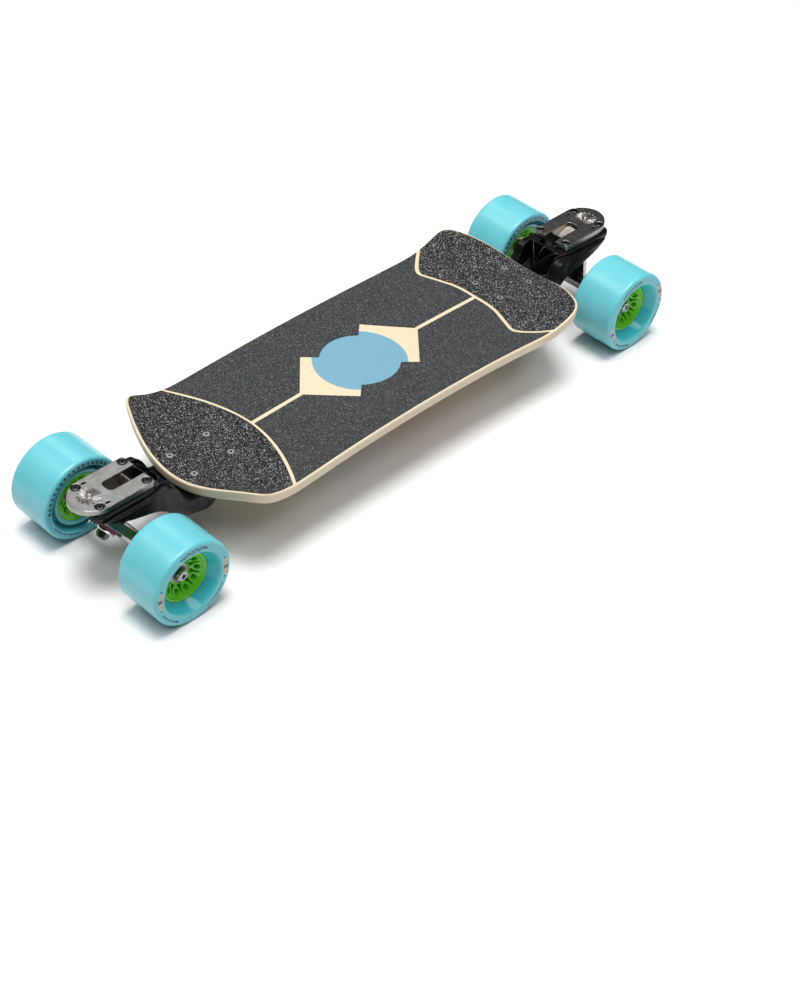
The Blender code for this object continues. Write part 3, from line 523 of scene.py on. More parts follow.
def sheet(name, outer, holes, low=0.05, high=1.05, step=5.0):
    """Thin sheet on the deck's top inside a plan loop."""
    co, tris, loops = fill(outer, holes, step)
    n = len(co)
    verts = [(x, y, deck_top(x, y) + high) for x, y in co] + [(x, y, deck_top(x, y) + low) for x, y in co]
    faces = list(tris) + [tuple(n + i for i in t[::-1]) for t in tris]
    for lp in loops:
        m = len(lp)
        faces += [(lp[i], n + lp[i], n + lp[(i + 1) % m], lp[(i + 1) % m]) for i in range(m)]
    o = mesh_object(name, verts, faces)
    return smooth(o, 40)


def crossing(pad, nose, inset):
    """Outline parameter at which the cut meets the margin line."""
    def f(t):
        p = edge_point(t, inset)
        return p[0] - (nose_arc(p[1], pad) if nose else tail_arc(p[1], pad))
    a, b = (14.0, 23.0) if nose else (13.0, 7.0)
    fa = f(a)
    for _ in range(60):
        c = 0.5 * (a + b)
        fc = f(c)
        if (fc > 0) == (fa > 0):
            a, fa = c, fc
        else:
            b = c
    return 0.5 * (a + b)


def edge_run(t0, t1, inset, side, step=2.6):
    n = max(2, int(abs(t1 - t0) * 18 / step))
    return [edge_point(t, inset, side) for t in np.linspace(t0, t1, n)]


def make_pad(name, nose):
    """Coarse grip sheet of one end."""
    t = crossing(True, nose, RAIL_MARGIN)
    yc = edge_point(t, RAIL_MARGIN)[1]
    end = TIP if nose else 0.0
    arc = [((nose_arc(y, True) if nose else tail_arc(y, True)), y) for y in np.linspace(-yc, yc, 120)]
    up = edge_run(t, end, RAIL_MARGIN, 1)
    down = edge_run(end, t, RAIL_MARGIN, -1)
    loop = [tuple(p) for p in arc[1:-1]] + [tuple(p) for p in up] + [tuple(p) for p in down[1:]]
    sx = 1 if nose else -1
    holes = [circle(sx * bx, sy * BOLT_Y, 4.35, 24) for bx in DECK_BOLT_X for sy in (-1, 1)]
    return sheet(name, loop, holes)


def make_middle(name, side):
    """Fine grip sheet of one half: leaves bare a strip along the middle, two corner squares and a disc."""
    tn, tt = crossing(False, True, RAIL_MARGIN), crossing(False, False, RAIL_MARGIN)
    yn, yt = edge_point(tn, RAIL_MARGIN)[1], edge_point(tt, RAIL_MARGIN)[1]
    run = [(nose_arc(y, False), y) for y in np.linspace(3.0, yn, 60)]
    run += [tuple(p) for p in edge_run(tn, tt, RAIL_MARGIN, 1)][1:-1]
    run += [(tail_arc(y, False), y) for y in np.linspace(yt, 3.0, 60)]
    run += [(-93.16, 3.0), (-48.3, 50.5)]
    run += [(48.0 * math.cos(a), 48.0 * math.sin(a)) for a in np.radians(np.linspace(131.81, 48.19, 40))]
    run += [(48.3, 50.5), (93.16, 3.0)]
    return sheet(name, [(x, y * side) for x, y in run], [])


# ---------------------------------------------------------------- truck frame
def tp(o, y, z):
    """Truck point: o outboard of the axle, y across, z up."""
    return (AXLE_X + o, y, z)


def sk(s, k, y=0.0):
    """Truck point from distances along the steering axis and along the kingpin."""
    return tp(S_DIR[0] * s + K_DIR[0] * k, y, WHEEL_R + S_DIR[1] * s + K_DIR[1] * k)


AXLE_PT = tp(0.0, 0.0, WHEEL_R)
S3 = (S_DIR[0], 0.0, S_DIR[1])
K3 = (K_DIR[0], 0.0, K_DIR[1])
PIN_PT = sk(PIN_S, 0.0)
PIVOT_PT = sk(0.0, PIVOT_K)
ROSE_X = 397.4


def disc_points(origin, axis, t, r, n=40):
    u, v, d = basis(axis)
    o = Vector(origin) + d * t
    return [tuple(o + (u * math.cos(2 * math.pi * i / n) + v * math.sin(2 * math.pi * i / n)) * r) for i in range(n)]


def curve_through(points, per=4, closed=False):
    """Catmull-Rom through plan points, so that an outline has no corners."""
    p = [np.array(q, float) for q in points]
    n = len(p)
    out = []
    last = n if closed else n - 1
    for k in range(last):
        a = p[(k - 1) % n] if closed or k > 0 else p[0]
        b, c = p[k], p[(k + 1) % n]
        d = p[(k + 2) % n] if closed or k + 2 < n else p[-1]
        for j in range(per):
            f = j / per
            q = 0.5 * (2 * b + (c - a) * f + (2 * a - 5 * b + 4 * c - d) * f * f + (3 * b - a - 3 * c + d) * f ** 3)
            out.append((float(q[0]), float(q[1])))
    if not closed:
        out.append((float(p[-1][0]), float(p[-1][1])))
    return out


def make_bracket():
    """Forked plate under the deck, neck and two prongs that carry the truck's baseplate."""
    def pad_z(x):
        return 75.93 - 0.042 * (x - 205.0) - 0.35

    half = [(309.0, 0.0), (308.3, 8.0), (305.5, 15.5), (300.0, 23.5), (290.0, 31.5), (280.0, 37.3), (271.0, 39.6), (261.0, 37.8),
            (245.0, 31.6), (231.0, 27.4), (225.0, 27.2), (221.5, 28.6), (217.0, 31.0), (211.0, 29.6), (206.6, 25.4), (205.4, 20.4),
            (206.6, 15.4), (211.0, 11.2), (217.0, 9.9), (223.0, 10.2), (248.0, 10.2), (254.0, 8.2), (257.6, 4.2), (258.4, 0.0)]
    poly = half + [(x, -y) for x, y in half[-2:0:-1]]
    poly = curve_through(poly, 4, closed=True)
    o = prism("bracket", poly, 49.5, lambda p: pad_z(p[0]), "xy")
    join(o, prism("c", [(190.0, 40.0), (262.0, 40.0), (262.0, 49.4)] + curve_through([(250.0, 50.4), (238.0, 53.0), (226.0, 57.0), (190.0, 61.2)], 4), -60, 60, "xz"))
    lower = [(298.0, 49.6), (306.6, 51.6), (312.0, 59.0), (319.0, 67.2), (331.0, 75.0), (344.0, 79.4), (358.0, 82.8),
             (372.0, 86.8), (390.0, 95.0), (404.0, 101.2), (414.0, 105.0), (416.0, 107.2)]
    liftl = [0.0, 4.0, 9.0, 11.5, 11.5, 11.5, 11.5, 10.5, 7.0, 3.0, 2.0, 0.0]
    fine = curve_through(lower, 3)
    finel = [q[1] for q in curve_through([(i, v) for i, v in enumerate(liftl)], 3)]
    profile = [(262.0, 49.6)] + fine + [(416.0, 110.0), (326.0, 110.0), (323.5, 108.6), (320.0, 107.8), (316.0, 107.0), (313.0, 105.2), (309.4, 101.6), (306.4, 97.2),
               (303.4, 91.6), (300.6, 86.2), (297.4, 80.8), (295.4, 76.6), (293.4, pad_z(293.2) - 0.2), (262.0, pad_z(262.0) - 0.2)]
    nl = len(profile)

    def row(f):
        return [0.0] + [v * f for v in finel] + [0.0] * (nl - 1 - len(finel))
    rows = []
    for y, f in ((-44.0, 1.15), (-40.0, 0.72), (-36.0, 0.38), (-33.0, 0.15), (-30.0, 0.0), (30.0, 0.0), (33.0, 0.15), (36.0, 0.38), (40.0, 0.72), (44.0, 1.15)):
        rows.append((y, row(f)))
    body = sections("n", rows, profile)
    pts = []
    for sy in (-1, 1):
        pts += [(261.0, sy * 37.2, 44.0), (266.0, sy * 39.0, 44.0), (280.0, sy * 36.6, 44.0), (290.0, sy * 30.8, 44.0), (300.0, sy * 22.8, 44.0), (307.6, sy * 12.0, 44.0),
                (261.0, sy * 37.2, 114.0), (293.4, sy * 33.6, 114.0), (333.0, sy * 34.8, 114.0), (333.0, sy * 34.6, 79.5), (333.0, sy * 29.6, 70.0), (301.0, sy * 31.6, 61.4)]
    extent = hull("e", pts)
    plan = curve_through([(316.0, 33.6), (330.0, 34.8), (345.0, 35.8), (362.0, 36.3), (378.0, 36.2), (392.0, 34.8), (404.0, 31.4), (411.0, 26.4), (413.6, 20.5), (411.4, 16.2), (406.0, 14.0)], 4)
    plan = plan + [(x, -y) for x, y in plan[::-1]]
    join(extent, prism("c", plan, 66.0, 118.0, "xy"), "UNION")
    join(body, extent, "INTERSECT")
    join(o, body, "UNION")
    # window for the truck
    win = [(324.9, -12.6), (325.6, -13.6), (430.0, -13.6), (430.0, 13.6), (325.6, 13.6), (324.9, 12.6)]
    join(o, prism("c", win, 30, 130, "xy"))
    # around the baseplate's outline the frame stands lower than its seat
    ring = prism("c", [(280.0, -60.0), (430.0, -60.0), (430.0, 60.0), (280.0, 60.0)], 107.2, 130.0, "xy")
    seat = [(330.4, 0.0), (330.4, 26.0), (331.4, 27.4), (333.4, 27.8), (390.0, 27.8), (398.0, 27.3), (405.6, 24.8), (412.4, 19.8), (418.0, 13.6), (420.6, 8.4), (422.6, 0.0)]
    seat = seat + [(x, -y) for x, y in seat[-2:0:-1]]
    join(ring, prism("c", seat, 90.0, 140.0, "xy"))
    join(o, ring)
    # each side steps down to a broad ledge that runs up to the neck and down to the deck
    brow = curve_through([(430.0, 101.0), (404.0, 101.0), (380.0, 101.5), (363.0, 101.2), (350.0, 101.4), (341.0, 102.2), (330.0, 102.9), (321.0, 103.2), (314.6, 102.2), (309.6, 98.6),
                          (305.6, 93.0), (302.6, 86.2), (299.4, 80.0), (294.0, 75.0), (290.0, 74.0), (284.0, 74.0)], 4)
    inner = curve_through([(280.0, 24.4), (300.0, 24.5), (312.0, 24.7), (318.0, 25.4), (324.0, 26.7), (331.0, 28.6), (338.0, 30.0), (346.0, 30.5), (400.0, 30.6), (430.0, 30.6)], 4)
    for sy in (-1, 1):
        step = prism("c", brow + [(284.0, 140.0), (430.0, 140.0)], min(sy * 20.0, sy * 60.0), max(sy * 20.0, sy * 60.0), "xz")
        join(step, prism("c", [(x, sy * y) for x, y in inner] + [(430.0, sy * 60.0), (280.0, sy * 60.0)], 40.0, 150.0, "xy"), "INTERSECT")
        join(o, step)
        join(o, prism("c", [(sy * 34.6, 73.4), (sy * 39.6, 68.2), (sy * 60.0, 68.2), (sy * 60.0, 90.0), (sy * 34.6, 90.0)], 255.0, 288.0, "yz"))
    low = curve_through([(297.2, 80.6), (300.0, 77.6), (306.0, 73.8), (314.0, 74.6), (322.6, 79.6)], 4)
    cut = prism("c", [(284.0, 80.6)] + low + [(322.6, 140.0), (284.0, 140.0)], -60, 60, "xz")
    wall = curve_through([(283.0, 22.6), (303.0, 22.9), (315.0, 23.2), (328.0, 23.8)], 4)
    join(cut, prism("c", wall + [(x, -y) for x, y in wall[::-1]], 40, 150, "xy"), "INTERSECT")
    join(o, cut)

    def arch(f):
        return 89.6 + 17.6 * math.sin(math.pi / 2 * min(max(f, 0.0), 1.0)) ** 0.85
    for y1 in (-20.6, 1.2, 21.0):
        # thin rib from a foot near the deck's end up to the cross bar, its upper edge arched
        foot, head = np.array([304.2, y1 * 0.04]), np.array([323.4, y1])
        d = (head - foot) / np.hypot(*(head - foot))
        side = np.array([-d[1], d[0]]) * 0.8
        n = 14
        one, two, tops = [], [], []
        for i in range(n + 1):
            q = foot + (head - foot) * (i / n)
            one.append(q + side)
            two.append(q - side)
            tops.append(arch(i / n))
        verts, faces = [], []
        for row_ in (one, two):
            for q, t in zip(row_, tops):
                verts += [(q[0], q[1], 70.6), (q[0], q[1], t)]
        m = n + 1
        for i in range(n):
            p0, p1, r0, r1 = 2 * i, 2 * i + 2, 2 * (m + i), 2 * (m + i) + 2
            faces += [(p0, p0 + 1, p1 + 1, p1), (r0, r1, r1 + 1, r0 + 1), (p0 + 1, r0 + 1, r1 + 1, p1 + 1), (p0, p1, r1, r0)]
        faces += [(0, 2 * m, 2 * m + 1, 1), (2 * n, 2 * n + 1, 2 * (m + n) + 1, 2 * (m + n))]
        join(o, mesh_object("r", verts, faces), "UNION")
    # shallow dimple in the underside of the plate
    join(o, turned("c", [(40.0, 4.0), (50.1, 4.0), (50.4, 3.6)], (291.0, -9.0, 0), (0, 0, 1), 32))
    cutters = []
    for bx in DECK_BOLT_X:
        for sy in (-1, 1):
            seat = 57.6 if bx < 240 else 64.0
            top = pad_z(bx)
            r = 6.1 if bx < 240 else 8.4
            low = seat + (2.6 if bx < 240 else 0.0)
            cutters.append(turned("c", [(30.0, r), (low, r), (low, 2.9), (top + 3, 2.9)], (bx, sy * BOLT_Y, 0), (0, 0, 1), 40))
    for bx in TRUCK_BOLT_X:
        for sy in (-1, 1):
            cutters.append(turned("c", [(40.0, 6.3), (101.6, 6.3), (101.6, 2.9), (120, 2.9)], (bx, sy * BOLT_Y, 0), (0, 0, 1), 32))
    join(o, merge(*cutters))
    # room for the hanger's arms when the truck leans
    for sy in (-1, 1):
        room = hull("c", [(x, sy * y, z) for x, y, z in (
            (356.0, 12.0, 70.0), (386.0, 12.0, 70.0), (356.0, 29.0, 70.0), (386.0, 29.0, 70.0),
            (358.5, 27.5, 97.2), (366.0, 25.5, 96.4), (356.0, 12.0, 98.0), (384.6, 12.0, 93.4), (384.6, 17.6, 92.6), (377.0, 22.5, 93.0))])
        join(o, room)
    return soften(o, 0.55, 3, 0.22, 0.45)


def make_baseplate():
    """Cast flange with kingpin block, pivot boss, pocket, bolt seats, two blind slots and a ring relief."""
    z1, z0 = BASE_TOP, BASE_TOP - FLANGE_T
    half = [(422.4, 0.0), (421.9, 4.0), (420.6, 8.4), (418.0, 13.6), (412.6, 19.6), (405.8, 24.6), (398.0, 27.2), (390.0, 27.6)]
    arc = curve_through([(x, -y) for x, y in half[:0:-1]] + half, 4)
    poly = arc + [(333.6, 27.6), (332.0, 27.3), (331.0, 26.6), (330.6, 25.4), (330.6, -25.4), (331.0, -26.6), (332.0, -27.3), (333.6, -27.6)]
    o = prism("baseplate", poly, z0, z1, "xy")
    pts = disc_points(PIN_PT, K3, -20.0, 11.0) + disc_points(PIN_PT, K3, -40.0, 11.6)
    pts += [(332.4, y, z) for y in (-12.2, 12.2) for z in (92.0, z0 + 2.0)] + [(378.0, y, z0 + 2.0) for y in (-12.2, 12.2)]
    pts = [p for p in pts if p[0] > 332.0]
    join(o, hull("c", pts), "UNION")
    join(o, hull("c", disc_points(PIVOT_PT, S3, 57.4, 10.6) + disc_points(PIVOT_PT, S3, 73.0, 11.8)
                 + [(x, y, z0 + 2.0) for x in (384.0, 417.0) for y in (-7.5, 7.5)]
                 + [(x, y, z0 + 2.0) for x in (392.0, 409.0) for y in (-12.6, 12.6)]), "UNION")
    join(o, prism("c", [(300, -60), (460, -60), (460, 60), (300, 60)], z1, z1 + 40, "xy"))
    join(o, turned("c", [(50.0, 8.0), (69.0, 8.0), (72.5, 5.0)], PIVOT_PT, S3, 40))
    a, b = sk(7.2, -38.0), sk(7.2, -60.0)
    top = sk(34.6, -38.0)
    pocket = [(a[0], a[2]), (top[0], top[2]), (375.0, z0 + 1.0), (377.0, z0 + 4.0), (377.0, 130.0), (315.0, 130.0), (315.0, b[2] + 8.0), (b[0], b[2])]
    cut = prism("c", pocket, -20.0, 20.0, "xz")
    corner = [(370.2 + 6.2 * math.cos(t), 2.6 + 6.2 * math.sin(t)) for t in np.radians(np.linspace(0, 90, 9))]
    plan = [(300.0, -8.8)] + [(x, -y) for x, y in corner[::-1]] + corner + [(300.0, 8.8)]
    join(cut, prism("c", plan, 40.0, 140.0, "xy"), "INTERSECT")
    join(o, cut)
    join(o, prism("b", [(345.8, 94.0), (347.7, 94.0), (347.7, z1 - 3.9), (345.8, z1 - 3.9)], -9.2, 9.2, "xz"), "UNION")
    cutters = [cylinder("c", PIN_PT, K3, -60.0, -10.0, 5.4, 32)]
    join(o, merge(*cutters))
    cutters = []
    for bx in TRUCK_BOLT_X:
        for sy in (-1, 1):
            cutters.append(turned("c", [(90.0, 2.9), (z1 - 2.2, 2.9), (z1 - 2.2, 5.6), (z1 + 3, 5.6)], (bx, sy * BOLT_Y, 0), (0, 0, 1), 40))
    for sy in (-1, 1):
        slot = [(389.0 + 2.0 * cx + 1.25 * math.cos(a), sy * 20.7 + 1.25 * math.sin(a)) for cx, a0 in ((1, -90), (-1, 90)) for a in np.radians(np.linspace(a0, a0 + 180, 9))]
        cutters.append(prism("c", slot, z1 - 4.6, z1 + 3, "xy"))
    join(o, merge(*cutters))
    # rosette: a ring and fourteen curved blades
    cutters = []
    cutters.append(turned("c", [(z1 - 0.9, 1.3), (z1 - 0.9, 2.9), (z1 + 2, 3.1), (z1 + 2, 1.1)], (ROSE_X, 0.0, 0), (0, 0, 1), 48, closed=True))
    for i in range(14):
        t0 = 2 * math.pi * (i + 0.5) / 14
        left, right = [], []
        for k in range(13):
            f = k / 12
            rr = 4.3 + 9.7 * f
            w = 0.28 + 1.05 * math.sin(math.pi * f ** 1.3) ** 0.8
            tc = t0 + 0.62 * f
            left.append((ROSE_X + rr * math.cos(tc + w / rr), rr * math.sin(tc + w / rr)))
            right.append((ROSE_X + rr * math.cos(tc - w / rr), rr * math.sin(tc - w / rr)))
        cutters.append(prism("c", left + right[::-1], z1 - 0.95, z1 + 2, "xy"))
    join(o, merge(*cutters))
    join(o, cylinder("c", AXLE_PT, (0, 1, 0), -90, 90, AXLE_R + GAP, 32))
    return soften(o, 0.40, 2, 0.22, 0.45)


def make_hanger():
    """Tube with a triangular yoke, bushing seats, drop-shaped window and pivot nose."""
    tube = [(-TUBE_Y, 8.3), (-TUBE_Y + 1.0, 8.7), (-TUBE_Y + 14, 8.9), (-52.0, 8.9), (-34.0, TUBE_R), (34.0, TUBE_R), (52.0, 8.9), (TUBE_Y - 14, 8.9), (TUBE_Y - 1.0, 8.7), (TUBE_Y, 8.3)]
    o = turned("hanger", tube, AXLE_PT, (0, 1, 0), 64)
    out = [(-44.0, -1.0), (-36.0, 8.0), (-25.0, 24.5), (-15.5, 40.5), (-7.4, 54.0), (7.4, 54.0), (15.5, 40.5), (25.0, 24.5), (36.0, 8.0), (44.0, -1.0)]
    out = curve_through(out[:5], 4)[:-1] + [out[4]] + curve_through(out[5:], 4)
    verts = [sk(s, -8.0, y) for y, s in out] + [sk(s, 3.0, y * 0.955) for y, s in out]
    k = len(out)
    faces = [tuple(range(k)), tuple(range(k, 2 * k))[::-1]] + [(i, (i + 1) % k, k + (i + 1) % k, k + i) for i in range(k)]
    join(o, mesh_object("c", verts, faces), "UNION")
    join(o, turned("c", [(46.0, 6.4), (54.0, 7.3), (58.0, 7.2), (66.0, 5.8), (68.4, 3.6), (69.0, 0.0)], PIVOT_PT, S3, 40), "UNION")
    for k0, k1, ry, rs, u in ((-3.6, 20.0, 15.4, 11.2, 48), (4.5, 12.0, 19.0, 15.6, 48)):
        seat = []
        for kk in (k0, k1):
            seat += [sk(PIN_S + rs * math.sin(2 * math.pi * i / u), kk, ry * math.cos(2 * math.pi * i / u)) for i in range(u)]
        join(o, hull("c", seat))
    join(o, cylinder("c", PIN_PT, K3, -20.0, -6.4, 13.4, 48))
    join(o, cylinder("c", PIN_PT, K3, -20.0, 20.0, 6.6, 40))
    win = [(-7.6, 37.0), (-8.2, 40.5), (-6.2, 45.5), (-2.4, 51.0), (2.4, 51.0), (6.2, 45.5), (8.2, 40.5), (7.6, 37.0), (3.0, 35.2), (-3.0, 35.2)]
    win = curve_through(win, 4, closed=True)
    verts = [sk(s, -20.0, y) for y, s in win] + [sk(s, 20.0, y) for y, s in win]
    k = len(win)
    faces = [tuple(range(k)), tuple(range(k, 2 * k))[::-1]] + [(i, (i + 1) % k, k + (i + 1) % k, k + i) for i in range(k)]
    join(o, mesh_object("c", verts, faces))
    join(o, cylinder("c", AXLE_PT, (0, 1, 0), -90, 90, AXLE_R + GAP, 32))
    return soften(o, 0.55, 4, 0.32, 0.5)


def hexagon_nut(name, origin, axis, t0, t1, flat_r, chamfer=0.8, phase=0.0):
    """Hexagon with turned chamfers at both ends; flat_r is the corner radius."""
    o = cylinder(name, origin, axis, t0, t1, flat_r, 6, phase)
    cone = turned("c", [(t0 - 0.01, 0.0), (t0 - 0.01, flat_r - chamfer), (t0 + chamfer * 0.6, flat_r + 0.05), (t1 - chamfer * 0.6, flat_r + 0.05),
                        (t1 + 0.01, flat_r - chamfer), (t1 + 0.01, 0.0)], origin, axis, 48)
    return boolean(o, cone, "INTERSECT", 0.001)


def make_kingpin():
    """Kingpin with its hexagon head, washerless lock nut, nylon collar and thread end."""
    pin = turned("kingpin", [(-44.0, 0.0), (-44.0, 4.9), (19.8, 4.9), (20.8, 3.9), (20.8, 0.0)], PIN_PT, K3, 32)
    boolean(pin, hexagon_nut("h", PIN_PT, K3, -45.8, -38.3, 7.4), "UNION")
    boolean(pin, hexagon_nut("h", PIN_PT, K3, 11.9, 18.2, 7.6), "UNION")
    boolean(pin, turned("c", rounded([(17.0, 0.0), (17.0, 6.2), (19.9, 6.0), (19.9, 5.3), (19.4, 0.0)], [0, 0, 0.7, 0.2, 0]), PIN_PT, K3, 40), "UNION")
    return smooth(pin, 30)


def bushing(name, profile, r):
    return smooth(turned(name, rounded(profile, r, 5, closed=True), PIN_PT, K3, 64, closed=True), 60)


def make_bolt(name, z_top, head_r, z_nut, z_end, nut_r, sunk):
    """Screw with a hexagon socket and its lock nut, standing on the local Z axis."""
    z = (0, 0, 1)
    if sunk:
        prof = [(z_end, 0.0), (z_end, 2.1), (z_end + 0.4, 2.4), (z_top - 2.7, 2.4), (z_top - 0.8, head_r), (z_top - 0.25, head_r), (z_top, head_r - 0.3), (z_top, 0.0)]
    else:
        prof = [(z_end, 0.0), (z_end, 2.1), (z_end + 0.4, 2.4), (z_top - 2.2, 2.4), (z_top - 2.2, head_r - 0.15), (z_top - 1.9, head_r), (z_top - 0.9, head_r),
                (z_top - 0.35, head_r - 0.45), (z_top, head_r - 1.2), (z_top, 0.0)]
    o = turned(name, prof, (0, 0, 0), z, 40)
    boolean(o, turned("c", [(z_top - 1.7, 0.0), (z_top - 1.5, 1.75), (z_top + 1.0, 1.75)], (0, 0, 0), z, 6))
    boolean(o, hexagon_nut("h", (0, 0, 0), z, z_nut, z_nut + 5.0, nut_r, 0.7), "UNION")
    return smooth(o, 30)


# ---------------------------------------------------------------- wheel, with its axis along local Y, outboard at +Y
def make_tyre():
    a, b, m = WHEEL_IN - WHEEL_MID, WHEEL_OUT - WHEEL_MID, WHEEL_MID
    prof = [(64.4 - m, 41.6), (a, 42.5), (a, 50.3), (a + 2.3, WHEEL_R), (b - 2.3, WHEEL_R), (b, 50.3), (b, 39.6), (110.0 - m, 30.6), (66.9 - m, 30.6),
            (64.9 - m, 35.2), (73.0 - m, 35.8), (73.0 - m, 37.8)]
    rad = [0.5, 1.0, 1.5, 2.4, 2.4, 1.5, 0.7, 0.2, 0.8, 0.8, 0.6, 0.6]
    n = 128
    p = rounded(prof, rad, 5, closed=True)
    # the wide tread gets rings of its own
    out = []
    for i, q in enumerate(p):
        out.append(q)
        nx = p[(i + 1) % len(p)]
        d = math.hypot(nx[0] - q[0], nx[1] - q[1])
        if d > 5.0:
            k = int(d / 4.0)
            out += [(q[0] + (nx[0] - q[0]) * j / k, q[1] + (nx[1] - q[1]) * j / k) for j in range(1, k)]
    o = turned("tyre", out, (0, 0, 0), (0, 1, 0), n, closed=True)
    return smooth(o, 50)


def make_core():
    """Moulded core: bowl on the outer side, web with ten round holes and ten tapering slots, hub with two bearing seats."""
    m = WHEEL_MID
    prof = [(109.8, 30.3), (109.8, 28.4), (106.8, 25.6), (103.2, 20.6), (100.4, 16.2), (100.0, 13.9), (101.2, 13.4), (101.2, 11.3), (93.1, 11.3), (93.1, 8.4),
            (83.5, 8.4), (83.5, 11.3), (76.0, 11.3), (76.0, 13.6), (74.0, 16.5), (68.6, 27.2), (66.9, 30.3)]
    o = turned("core", [(t - m, r) for t, r in prof], (0, 0, 0), (0, 1, 0), 96, closed=True)
    cutters = []
    for i in range(10):
        a = 2 * math.pi * i / 10
        cutters.append(cylinder("c", (21.6 * math.cos(a), 0.0, 21.6 * math.sin(a)), (0, 1, 0), 50 - m, 130 - m, 3.15, 24))
        b = a + math.pi / 10
        shape = [(13.9, -2.5), (14.6, -2.95), (16.6, -2.6), (18.6, -1.5), (20.6, -0.95), (24.2, -0.85), (24.9, 0.0), (24.2, 0.85), (20.6, 0.95), (18.6, 1.5), (16.6, 2.6), (14.6, 2.95), (13.9, 2.5)]
        shape = curve_through(shape, 3, closed=True)
        pts = [(x * math.cos(b) - y * math.sin(b), x * math.sin(b) + y * math.cos(b)) for x, y in shape]
        cutters.append(prism("c", pts, 50 - m, 130 - m, "xz"))
    join(o, merge(*cutters))
    return soften(o, 0.46, 2, 0.20, 0.5)


def make_bearing(y0):
    """Bearing: outer race, recessed shields and inner race."""
    y1 = y0 + BEARING_W
    prof = [(y0, AXLE_R + GAP), (y0, 6.4), (y0 + 0.5, 6.6), (y0 + 0.5, 9.3), (y0, 9.5), (y0, BEARING_R), (y1, BEARING_R), (y1, 9.5), (y1 - 0.5, 9.3), (y1 - 0.5, 6.6), (y1, 6.4), (y1, AXLE_R + GAP)]
    prof = [(t - WHEEL_MID, r) for t, r in prof]
    return smooth(turned("bearing", rounded(prof, 0.25, 2, closed=True), (0, 0, 0), (0, 1, 0), 64, closed=True), 30)


def make_axle_nut():
    """Hexagon lock nut with a nylon collar, bored for the axle."""
    y0 = BEARING_OUT + BEARING_W + GAP - WHEEL_MID
    z = (0, 1, 0)
    o = hexagon_nut("axle_nut", (0, 0, 0), z, y0, y0 + 4.8, 7.3)
    boolean(o, turned("c", rounded([(y0 + 3.0, 0.0), (y0 + 3.0, 6.0), (y0 + 6.6, 5.9), (y0 + 6.6, 0.0)], [0, 0, 0.9, 0]), (0, 0, 0), z, 48), "UNION")
    boolean(o, cylinder("c", (0, 0, 0), z, y0 - 2.0, y0 + 9.0, AXLE_R + GAP, 32))
    return smooth(o, 30)


